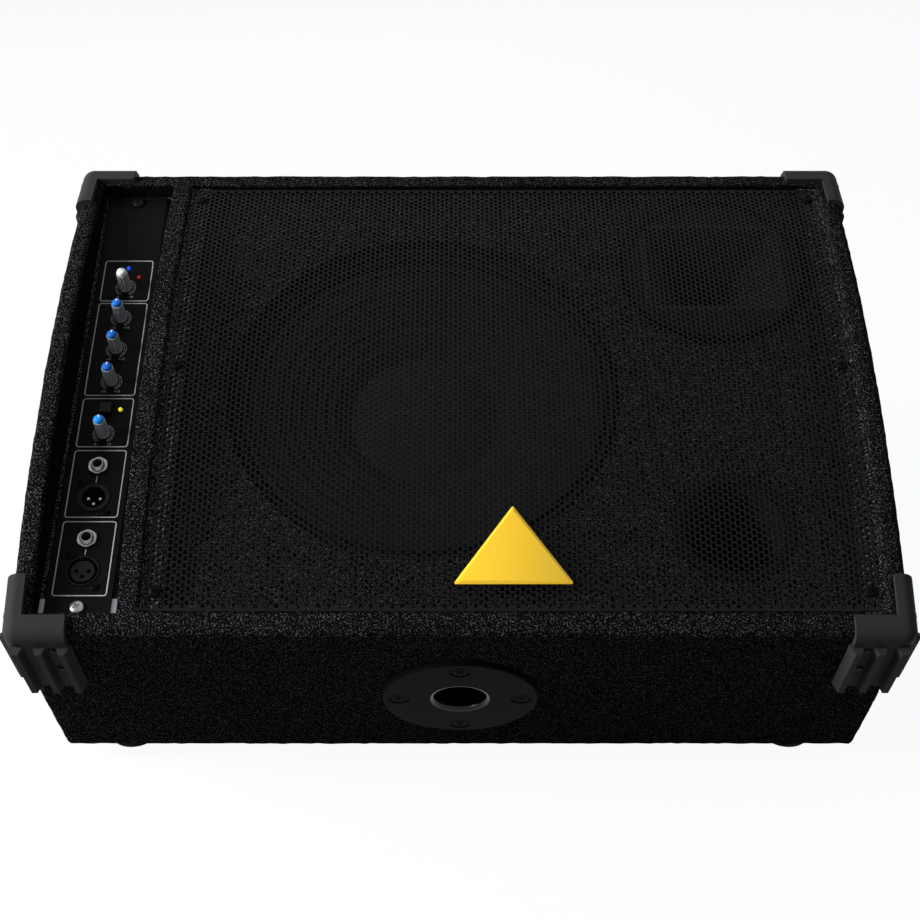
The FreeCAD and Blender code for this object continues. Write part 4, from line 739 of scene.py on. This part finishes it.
# white lines printed on the panel: five frames, a scale round each knob, and plain numbers
def panelPrint():
    p = panel
    low, high = p["top"], p["top"] + p["ink"]
    line = p["line"]
    shapes = []
    for top, bottom in p["frames"]:
        outer = roundedRectangle(p["width"], top - bottom, p["corner"])
        inner = roundedRectangle(p["width"] - 2 * line, top - bottom - 2 * line, p["corner"] - line)
        shapes.append(moved(band(outer, inner, low, high), at(p["x"], (top + bottom) / 2, 0)))
    for top, bottom in p["leads"]:
        shapes.append(bar((p["x"] - p["lead"], p["x"] + p["lead"]), (bottom, top), (low, high)))
    near, far = p["scaleRadii"]
    for knob in knobs.values():
        place = at(p["x"], knob["v"], 0)
        for radius in (near, far):
            shapes.append(moved(arcBand(radius, p["scaleLine"], -150, 150, low, high), place))
        for k in range(11):
            tick = bar((-p["scaleLine"] / 2, p["scaleLine"] / 2), (near, far), (low, high))
            shapes.append(moved(tick, place @ Matrix.Rotation(math.radians(150 - 30 * k), 4, "Z")))
        for text, side in zip(knob["numbers"], (-1, 1)):
            x, v = p["x"] + side * p["numberAside"], knob["v"] - p["numberUnder"]
            shapes.append(printedNumber(text, x, v, p["number"]))
    piece("panelPrint", joined(shapes), "panelPrint", turnOut=False)


# radii and heights above the knob's foot
knobForm = {
    "foot": 171.5, "bore": 3.05, "boreTop": 13, "height": 16.5, "flutes": 14, "cut": 0.8,
    "side": [
        (4.7, 0), (4.7, 0.9), (4.6, 1.2), (4.62, 1.4),
        (4.4, 9), (4.22, 15.9), (4.05, 16.4), (3.6, 16.5),
    ],
    "cap": [
        (0, 16.5), (3.45, 16.5), (3.6, 16.8), (3.55, 17.6),
        (3.3, 18.4), (2.7, 19.1), (1.9, 19.5), (0, 19.6),
    ],
    "pointer": [
        (0.3, 19), (0.3, 19.75), (2.1, 19.65), (2.9, 19.2),
        (3.5, 18.4), (3.75, 17.4), (3.75, 16.9), (3.2, 16.9),
    ],
    "pointerHalf": 0.42,
}


def knob(name, look):
    k = knobForm

    def flute(turn, height):
        if height < 1.3 or height > k["height"] - 0.2:
            return 0
        return -k["cut"] * (0.5 - 0.5 * math.cos(k["flutes"] * turn))

    place = toRow @ at(panel["x"], look["v"], k["foot"])
    profile = [(0, k["boreTop"]), (k["bore"], k["boreTop"]), (k["bore"], 0), *k["side"], (0, k["height"])]
    body = f"{name}_knob_body"
    node = (f"{name}_knob",)
    skirt = lathe(profile, 108, flute)
    piece(f"{name}KnobSkirt", skirt, "knobGrey", body, place, 30, node, "knob_plastic")
    piece(f"{name}KnobCap", lathe(k["cap"], 48), look["cap"], body, place, 40, node, "knob_plastic")
    mark = slab(k["pointer"], -k["pointerHalf"], k["pointerHalf"])
    turned = place @ Matrix(((0, 0, 1, 0), (1, 0, 0, 0), (0, 1, 0, 0), (0, 0, 0, 1)))
    piece(f"{name}KnobPointer", mark, look["pointer"], body, turned, 40, node, "knob_plastic")


lamps = {
    "power": {"x": -250, "v": 311.2, "finish": "lampBlue"},
    "clip": {"x": -240.9, "v": 302.4, "finish": "lampRed"},
    "filter": {"x": -240.6, "v": 181.4, "finish": "lampYellow"},
}
lampForm = {"radius": 1.5, "low": 151.7, "shoulder": 171.5, "rise": 1.45}

def lamp(name, look):
    radius, shoulder, rise = lampForm["radius"], lampForm["shoulder"], lampForm["rise"]
    turns = [math.pi / 2 * i / 6 for i in range(6)]
    dome = [(radius * math.cos(turn), shoulder + rise * math.sin(turn)) for turn in turns]
    foot = [(0, lampForm["low"]), (radius, lampForm["low"]), (radius, 170.9), (1.56, 171.1)]
    profile = foot + dome + [(0, shoulder + rise)]
    place = toRow @ at(look["x"], look["v"], 0)
    piece(f"{name}Lamp", lathe(profile, 24), look["finish"], "cabinet", place, 50, ("indicator_leds",))


panelPrint()
for name, look in knobs.items():
    knob(name, look)
for name, look in lamps.items():
    lamp(name, look)
print("panel print, knobs and lamps made")


jack = {
    "v": (133.3, 75), "bore": 3.35, "bush": 4.6, "under": 169.5, "mouth": 175.8,
    "threads": 6, "threadLow": 171.8, "threadLength": 3.6, "threadDeep": 0.28,
    "body": 15, "bodyLow": 145.8,
    "nutFlat": 6.35, "nutLevels": ((171, 7.2), (172.7, 7.2), (173.2, 6.7)),
}


# a threaded bush in front of a plain moulded body, and its chamfered nut
def jacks():
    j = jack
    bushes, bodies, nuts = [], [], []
    outside = [(j["bush"], j["under"]), (j["bush"], j["threadLow"] - 0.2)]
    for k in range(j["threads"]):
        low = j["threadLow"] + j["threadLength"] * k / j["threads"]
        outside += [(j["bush"] - j["threadDeep"], low), (j["bush"], low + 0.3)]
    outside.append((j["bush"] - 0.7, j["mouth"]))
    bore = [(j["bore"] + 0.15, j["mouth"]), (j["bore"], j["mouth"] - 0.3), (j["bore"], j["under"])]
    can = roundedRectangle(j["body"] - 0.2, j["body"] - 0.2, 1.2)
    hole = circle(j["bore"], len(can), 0.11)
    sixth = math.pi / 3
    hexagon = []
    for level, reach in j["nutLevels"]:
        ring = []
        for x, y in circle(1, 24):
            turn = math.atan2(y, x)
            r = min(j["nutFlat"] / math.cos((turn + sixth / 2) % sixth - sixth / 2), reach)
            ring.append((r * x, r * y, level))
        hexagon.append(ring)
    for level in (j["nutLevels"][-1][0], j["nutLevels"][0][0]):
        hexagon.append([(x, y, level) for x, y in circle(j["bush"] + 0.1, 24)])
    for v in j["v"]:
        place = at(panel["x"], v, 0)
        bushes.append(moved(lathe(outside + bore, 48, closed=True), place))
        bodies.append(moved(band(can, hole, j["bodyLow"], j["under"]), place))
        nuts.append(moved(loft(hexagon, closed=True), place))
    piece("jackBushes", joined(bushes), "nickel", stands=("jack_sockets",))
    piece("jackBodies", joined(bodies), "blackPlastic", stands=("jack_sockets",), slot="black_plastic")
    piece("jackNuts", joined(nuts), "nickel", stands=("jack_nuts",), slot="nickel")


jacks()


# screw heads with a cross recess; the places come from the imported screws
screwKinds = {
    "panelScrews": {"node": "panel_screws", "head": 4.9, "rise": 3, "shank": 1.6},
    "xlrScrews": {"node": "xlr_screws", "head": 3, "rise": 1.6, "shank": 1.4, "finish": "screwBlack"},
    "grilleScrews": {
        "node": "grille_screws", "head": 4, "rise": 2.2, "shank": 1.6, "cross": 0.45,
        "finish": "screwBlack",
    },
    "guardScrews": {"node": "guard_screws", "head": 2.4, "rise": 1.6, "shank": 1.6, "finish": "blackSteel"},
}


# what is left of a solid shape when the tools have been cut out of it
def carved(shape, tools):
    blank, cutter = inScene("blank", meshOf("blank", shape)), inScene("tool", meshOf("tool", tools))
    cut = blank.modifiers.new("cut", "BOOLEAN")
    cut.operation = "DIFFERENCE"
    cut.solver = "EXACT"
    cut.use_self = True
    cut.object = cutter
    left = shapeOf(blank)
    for item in (blank, cutter):
        bpy.data.objects.remove(item)
    return left


def crossTool(arm, width, low, high):
    return joined([
        bar((-arm, arm), (-width / 2, width / 2), (low, high)),
        bar((-width / 2, width / 2), (-arm, arm), (low, high)),
    ])


def crossHead(kind):
    r, h = kind["head"], kind["rise"]
    dome = [(0, h)]
    for i in range(1, 9):
        turn = math.pi / 2 * i / 8
        dome.append((r * math.sin(turn), h * (0.35 + 0.65 * math.cos(turn))))
    profile = dome + [(r, 0), (kind["shank"], 0), (kind["shank"], -4), (0, -4.6)]
    return carved(lathe(profile, 40), crossTool(r * kind.get("cross", 0.5), r * 0.16, h * 0.45, h * 1.2))


def looseParts(node):
    bm = bmesh.new()
    bm.from_mesh(nodes[node].data)
    bm.transform(toRow.inverted())
    bmesh.ops.remove_doubles(bm, verts=bm.verts, dist=0.001)
    met = set()
    parts = []
    for first in bm.verts:
        if first in met:
            continue
        met.add(first)
        part = []
        queue = [first]
        while queue:
            vertex = queue.pop()
            part.append(vertex.co.copy())
            for edge in vertex.link_edges:
                other = edge.other_vert(vertex)
                if other not in met:
                    met.add(other)
                    queue.append(other)
        parts.append(part)
    bm.free()
    # in order of place, so that each run counts them alike
    return sorted(parts, key=lambda part: tuple(round(c) for c in sum(part, Vector()) / len(part)))


def facing(part):
    centre = sum(part, Vector()) / len(part)
    if abs(centre.x) > cabinet["halfWidth"] - cabinet["board"]:
        return Vector((math.copysign(1, centre.x), 0, 0))
    if abs(centre.y - half) > half - cabinet["board"]:
        return Vector((0, math.copysign(1, centre.y - half), 0))
    if centre.x < panel["right"]:
        return Vector((0, 0, 1))
    turn = math.asin((centre.y - half) / bowRadius)
    return Vector((0, math.sin(turn), math.cos(turn)))


def screws(name, kind):
    head = crossHead(kind)
    shapes = {}
    for number, part in enumerate(looseParts(kind["node"])):
        out = facing(part)
        reach = max(p.dot(out) for p in part)
        crown = [p for p in part if p.dot(out) > reach - 0.02]
        top = sum(crown, Vector()) / len(crown)
        turned = Matrix.Rotation(0.6 + 1.7 * number, 4, "Z")  # no two crosses stand alike
        faced = out.to_track_quat("Z", "Y").to_matrix().to_4x4() @ turned
        place = Matrix.Translation(top - out * kind["rise"]) @ faced
        finish = kind.get("finish") or ("blackSteel" if top.y > half else "nickel")
        shapes.setdefault(finish, []).append(moved(head, place))
    for finish, group in shapes.items():
        piece(f"{name}-{finish}", joined(group), finish, stands=(kind["node"],), turnOut=False)


for name, kind in screwKinds.items():
    screws(name, kind)
print("jacks and screws made")


poleSocket = {
    "w": 89, "flange": 53.2, "thick": 4, "edge": 1,
    "bore": 17.6, "wall": 3.9, "lip": 3, "depth": 78, "floor": 4,
    "screwCircle": 42, "screw": 7, "rim": 0.25, "sunk": 0.5, "head": 3.6, "shank": 2.4, "shankLength": 15,
}


def quarter(radius, height, turnRadius, start, steps=5):
    turns = [math.radians(start + 90 * i / steps) for i in range(steps + 1)]
    return [(radius + turnRadius * math.cos(t), height + turnRadius * math.sin(t)) for t in turns]


# a flanged tube with a rounded mouth, and four countersunk screws just under its face
def socket():
    p = poleSocket
    outward = toRow @ at(0, 0, p["w"]) @ Matrix.Rotation(math.pi / 2, 4, "X")
    flange, edge, lip = p["flange"], p["edge"], p["lip"]
    mouth = list(reversed(quarter(p["bore"] + lip, p["thick"] - lip, lip, 90)))
    rim = list(reversed(quarter(flange - edge, p["thick"] - edge, edge, 0)))
    seam = p["bore"] + lip
    outer = p["bore"] + p["wall"]
    base = -p["depth"] - p["floor"]
    tube = [(0, -p["depth"]), (p["bore"], -p["depth"]), *mouth]
    tube += [(seam, 0), (outer, 0), (outer, base), (0, base)]
    face, reach = p["thick"], p["screw"] + p["rim"]
    plate = [(seam, 0), (seam, face), (seam + 0.4, face), (flange - edge - 0.4, face), *rim, (flange, 0)]
    spots = [(p["screwCircle"] * x, p["screwCircle"] * y) for x, y in ((1, 0), (-1, 0), (0, 1), (0, -1))]
    places = [at(x, y, 0) for x, y in spots]
    sink = [(0, -1.2), (p["shank"] + 0.3, -1.2), (p["shank"] + 0.3, face - p["head"])]
    sink += [(reach, face - p["sunk"]), (reach, face + 1), (0, face + 1)]
    sinks = joined([moved(lathe(sink, 40), place) for place in places])
    flangeShape = carved(lathe(plate, 96, closed=True), sinks)
    piece("poleSocketFlange", flangeShape, "socketPlastic", "cabinet", outward, 30, ("pole_socket",))
    piece("poleSocketTube", lathe(tube, 96), "tubePlastic", "cabinet", outward, 40, ("pole_socket",))
    top, shank, tip = face - p["sunk"], p["shank"], -p["shankLength"]
    head = [(0, top), (p["screw"] - 1, top), (p["screw"] - 0.3, top - 0.2), (p["screw"], top - 0.5)]
    head += [(shank, top - p["head"] + 0.6), (shank, tip), (0, tip - 1)]
    screw = carved(lathe(head, 40), crossTool(2.6, 0.9, top - 1, top + 1))
    turnedScrews = []
    for number, place in enumerate(places):
        turnedScrews.append(moved(screw, place @ Matrix.Rotation(0.4 + 0.9 * number, 4, "Z")))
    screws = joined(turnedScrews)
    piece("poleSocketScrews", screws, "socketPlastic", "cabinet", outward, 30, ("pole_socket_screws",))


socket()
print("pole socket made")


def middleX(node):
    low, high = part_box(node)
    return (low[0] + high[0]) * 500


# neck and end are levels down the bell, the collar lies between them
horn = {
    "x": middleX("horn_flare"), "v": 311, "radius": 70, "seat": 170, "face": 174, "rim": 3, "rimWidth": 7,
    "mouth": (100, 76), "throat": 25, "wall": 2.5, "corner": 2, "neck": 104, "end": 100, "collar": 38,
}


# a round flange with a raised rim, and a bell whose four walls narrow to the throat
def hornFlare():
    h = horn
    place = toRow @ at(h["x"], h["v"], 0)
    (wide, tall), throat, wall = h["mouth"], h["throat"], h["wall"]
    edge = roundedRectangle(wide + 2 * wall, tall + 2 * wall, h["corner"] + wall, 23)
    face = h["face"]
    flange = band(circle(h["radius"], len(edge), math.pi / len(edge)), edge, h["seat"], face)
    far, near, top = h["radius"], h["radius"] - h["rimWidth"], face + h["rim"]
    rim = [(far, face), (far - 0.4, face + 0.8), (far - 2.2, top - 0.4), (far - 3, top)]
    rim += [(near + 1.4, top), (near + 0.6, top - 0.4), (near, face)]
    shape = joined([flange, lathe(rim, 96, closed=True)])
    piece("hornFlange", shape, "hornPlastic", "cabinet", place, 30, ("horn_flare",))
    sections = [(face, wide, tall), (h["neck"], throat, throat), (h["end"], throat, throat)]
    rings = []
    for grown, run in ((wall, sections), (0, reversed(sections))):
        for level, across, along in run:
            outline = roundedRectangle(across + 2 * grown, along + 2 * grown, h["corner"] + grown)
            rings.append([(x, y, level) for x, y in outline])
    inside = throat * 0.75  # past the corners of the square neck
    collar = [(inside, h["end"]), (h["collar"], h["end"]), (h["collar"], h["neck"]), (inside, h["neck"])]
    bell = joined([loft(rings, closed=True), lathe(collar, 64, closed=True)])
    # the bell is painted lighter than the flange: painted light on its inside walls
    piece("hornBell", bell, "insidePlasticPaintedLight", "cabinet", place, 30, ("horn_flare",))


hornFlare()


port = {
    "x": middleX("port_tube"), "v": 85, "bore": 34.5, "wall": 2.5, "length": 110,
    "seat": 170, "lip": 42, "lipThick": 2.5, "tubeUnder": 1.5,
}


# a plain tube with a turned-out lip on the baffle
def portTube():
    p = port
    place = toRow @ at(p["x"], p["v"], 0)
    bore, outer, lip = p["bore"], p["bore"] + p["wall"], p["lip"]
    top = p["seat"] + p["lipThick"]
    low, high = top - p["length"], top - p["tubeUnder"]
    edge = [(outer, p["seat"]), (lip, p["seat"]), (lip, top - 1), (lip - 1, top)]
    edge += [(bore + 1.5, top), (bore + 0.4, top - 0.5), (bore, high), (outer, high)]
    piece("portLip", lathe(edge, 96, closed=True), "hornPlastic", "cabinet", place, 40, ("port_tube",))
    tube = [(bore, low), (bore, high), (outer, high), (outer, low)]
    # the tube wall is painted lighter than the lip: painted light inside the tube
    piece("portTubeWall", lathe(tube, 96, closed=True), "insidePlasticPaintedLight", "cabinet", place, 40, ("port_tube",))


portTube()


badge = {
    "x": 35, "v": 60.5, "width": 79, "height": 55, "thick": 3, "corner": 1.1, "slope": 1.2, "inset": 1.7,
}


# the outline of an upright triangle drawn in by a distance, with its corners rounded
def triangle(width, height, drawnIn, radius, steps=5):
    wide, high = width / 2, height / 2
    corners = [Vector((wide, -high)), Vector((0, high)), Vector((-wide, -high))]
    sides = [(corners[k] - corners[k - 1]).length for k in range(3)]
    inside = width * height / sum(sides)
    middle = Vector((0, inside - high))
    corners = [middle + (corner - middle) * (1 - drawnIn / inside) for corner in corners]
    outline = []
    for k in range(3):
        back = (corners[k - 1] - corners[k]).normalized()
        on = (corners[(k + 1) % 3] - corners[k]).normalized()
        centre = corners[k] + (back + on).normalized() * radius / math.sin(back.angle(on) / 2)
        start = math.atan2(back.x, -back.y)
        bend = math.pi - back.angle(on)
        for i in range(steps + 1):
            turn = start + bend * i / steps
            outline.append((centre.x + radius * math.cos(turn), centre.y + radius * math.sin(turn)))
    return outline


# the yellow triangle: crisp corners and a sloping edge, standing on the grille
def badgePlate():
    b = badge
    rings = []
    for level, drawnIn in ((0, 0), (b["thick"] - b["slope"], 0), (b["thick"], b["inset"])):
        rings.append([(x, y, level) for x, y in triangle(b["width"], b["height"], drawnIn, b["corner"])])
    place = toRow @ bowMatrix(b["x"], b["v"], grille["drop"])
    plate = loft(rings, caps=True)
    piece("badgePlate", plate, "badgeYellow", "cabinet", place, 25, ("badge",), "badge_yellow")


badgePlate()
print("horn, port and badge made")


camera = {"back": 0.9181, "z": 0.7151, "down": 26.86, "lens": 60.26, "sensor": 36}


def setCamera():
    data = bpy.data.cameras.new("viewCamera")
    data.lens = camera["lens"]
    data.sensor_width = camera["sensor"]
    made = inScene("viewCamera", data)
    made.location = (0, originY - camera["back"], camera["z"])
    made.rotation_euler = (math.radians(90 - camera["down"]), 0, 0)
    scene.camera = made


stage = {
    "floorSize": 30, "floorGrey": 0.27, "floorShown": 0.95, "floorWhite": 0.94, "worldFill": 0.12,
    "lampsAt": (0, 0, 0.15),
    "lamps": {
        "keyLamp": {"place": (-2, -0.85, 1.35), "size": 0.8, "power": 50},
        "sideLamp": {"place": (-2.3, -0.5, 0.95), "size": 0.7, "power": 62},
        "fillLamp": {"place": (1.4, -0.9, 1.8), "size": 1.8, "power": 6},
        "topLamp": {"place": (0.1, 0.7, 2.5), "size": 1.6, "power": 8},
        "rearLamp": {"place": (-0.6, 2.2, 1.2), "size": 1.6, "power": 12},
    },
}


# lit as the plain surface; where the camera or a mirror looks at it, a share of it is white
def seenAsWhite(tree, plain, white, outKind, share):
    add, link = tree.nodes.new, tree.links.new
    paths = add("ShaderNodeLightPath")
    largest = paths.outputs["Is Camera Ray"]
    for other in ("Is Glossy Ray", "Is Transmission Ray"):
        more = add("ShaderNodeMath")
        more.operation = "MAXIMUM"
        link(largest, more.inputs[0])
        link(paths.outputs[other], more.inputs[1])
        largest = more.outputs[0]
    part = add("ShaderNodeMath")
    part.operation = "MULTIPLY"
    part.inputs[1].default_value = share
    link(largest, part.inputs[0])
    mix = add("ShaderNodeMixShader")
    for socket, source in enumerate((part, plain, white)):
        link(source.outputs[0], mix.inputs[socket])
    link(mix.outputs[0], add(outKind).inputs[0])


def setStage():
    bpy.ops.mesh.primitive_plane_add(size=stage["floorSize"], location=(0, 0, 0))
    floor = bpy.context.object
    floor.name = "studioFloor"
    material = bpy.data.materials.new("studioWhite")
    tree = emptyTree(material)
    plain = tree.nodes.new("ShaderNodeBsdfDiffuse")
    seen = tree.nodes.new("ShaderNodeLightPath")
    grey = tree.nodes.new("ShaderNodeMapRange")
    grey.inputs["To Min"].default_value = stage["floorGrey"]
    grey.inputs["To Max"].default_value = stage["floorShown"]
    tree.links.new(seen.outputs["Is Camera Ray"], grey.inputs["Value"])
    tree.links.new(grey.outputs[0], plain.inputs[0])
    white = tree.nodes.new("ShaderNodeEmission")
    seenAsWhite(tree, plain, white, "ShaderNodeOutputMaterial", stage["floorWhite"])
    floor.data.materials.append(material)

    scene.world = bpy.data.worlds.new("studioWorld")
    tree = emptyTree(scene.world)
    plain = tree.nodes.new("ShaderNodeBackground")
    plain.inputs["Strength"].default_value = stage["worldFill"]
    white = tree.nodes.new("ShaderNodeBackground")
    white.inputs["Color"].default_value = (1, 1, 1, 1)
    seenAsWhite(tree, plain, white, "ShaderNodeOutputWorld", 1)

    for name, lamp in stage["lamps"].items():
        data = bpy.data.lights.new(name, "AREA")
        data.size = lamp["size"]
        data.energy = lamp["power"]
        made = inScene(name, data)
        made.location = lamp["place"]
        made.rotation_euler = (Vector(stage["lampsAt"]) - made.location).to_track_quat("-Z", "Y").to_euler()


setCamera()
setStage()
print("stage set")

guards = ["guard_lower_left", "guard_lower_right", "guard_upper_left", "guard_upper_right"]
nodeFinishes = {
    # the carpet behind the grille is painted lighter than the outer carpet, as painted light
    "carpetInsidePaintedLight": ["divider_board", "front_rails", "baffle_board"],
    # the carpet on the side and end boards is painted darker than the outer carpet, as painted shade
    "carpetEdgePaintedShade": ["side_left", "side_right", "upper_end_board", "lower_end_board"],
    "particleBoard": ["floor_board", "back_board"],
    "guardPlastic": guards,
    "blackPlastic": ["handle_pocket", "power_inlet", "switch_frame", "filter_button"],
    "connectorPlastic": ["xlr_input_socket", "xlr_link_socket", "xlr_input_insert"],
    "panelPaint": ["control_panel"],
    "chassisSteel": ["amp_chassis"],
    "zincSteel": ["pots_and_switch", "woofer_front_plate", "woofer_pole_plate"],
    "blackSteel": ["driver_screws", "case_screws"],
    "nickel": ["connector_pins"],
    "basketPaint": ["woofer_basket", "compression_driver"],
    "copperWire": ["woofer_voice_coil", "mains_transformer"],
    "ferrite": ["woofer_magnet"],
    "footRubber": ["rubber_feet"],
    "circuitLacquer": ["circuit_boards"],
    "sinkAluminium": ["rear_heat_sink"],
    "rockerRed": ["switch_rocker"],
}
# how wide, in millimetres, the edges of nodes are eased
edgeWidths = {
    0.8: [*guards, "handle_pocket", "rubber_feet"],
    0.5: ["filter_button"],
    0.4: ["connector_pins", "power_inlet", "switch_frame", "switch_rocker", "case_screws"],
    0.35: ["rear_heat_sink"],
    0.3: ["xlr_input_socket", "xlr_link_socket"],
    0.25: ["control_panel"],
    0.2: ["amp_chassis"],
}


def soften(name, width):
    node = nodes[name]
    weld = node.modifiers.new("joinCorners", "WELD")
    weld.merge_threshold = 0.00001
    merge = node.modifiers.new("flatFaces", "DECIMATE")
    merge.decimate_type = "DISSOLVE"
    merge.angle_limit = math.radians(0.6)
    bevel = node.modifiers.new("easedEdges", "BEVEL")
    bevel.width = width / 1000
    bevel.segments = 2
    bevel.limit_method = "ANGLE"
    bevel.angle_limit = math.radians(40)
    bevel.use_clamp_overlap = True
    shade = node.modifiers.new("flatShading", "WEIGHTED_NORMAL")
    shade.keep_sharp = True


for finish, names in nodeFinishes.items():
    for name in names:
        slots = nodes[name].data.materials
        slots.clear()
        slots.append(finishes[finish])
for width, names in edgeWidths.items():
    for name in names:
        soften(name, width)
print("frame nodes finished")
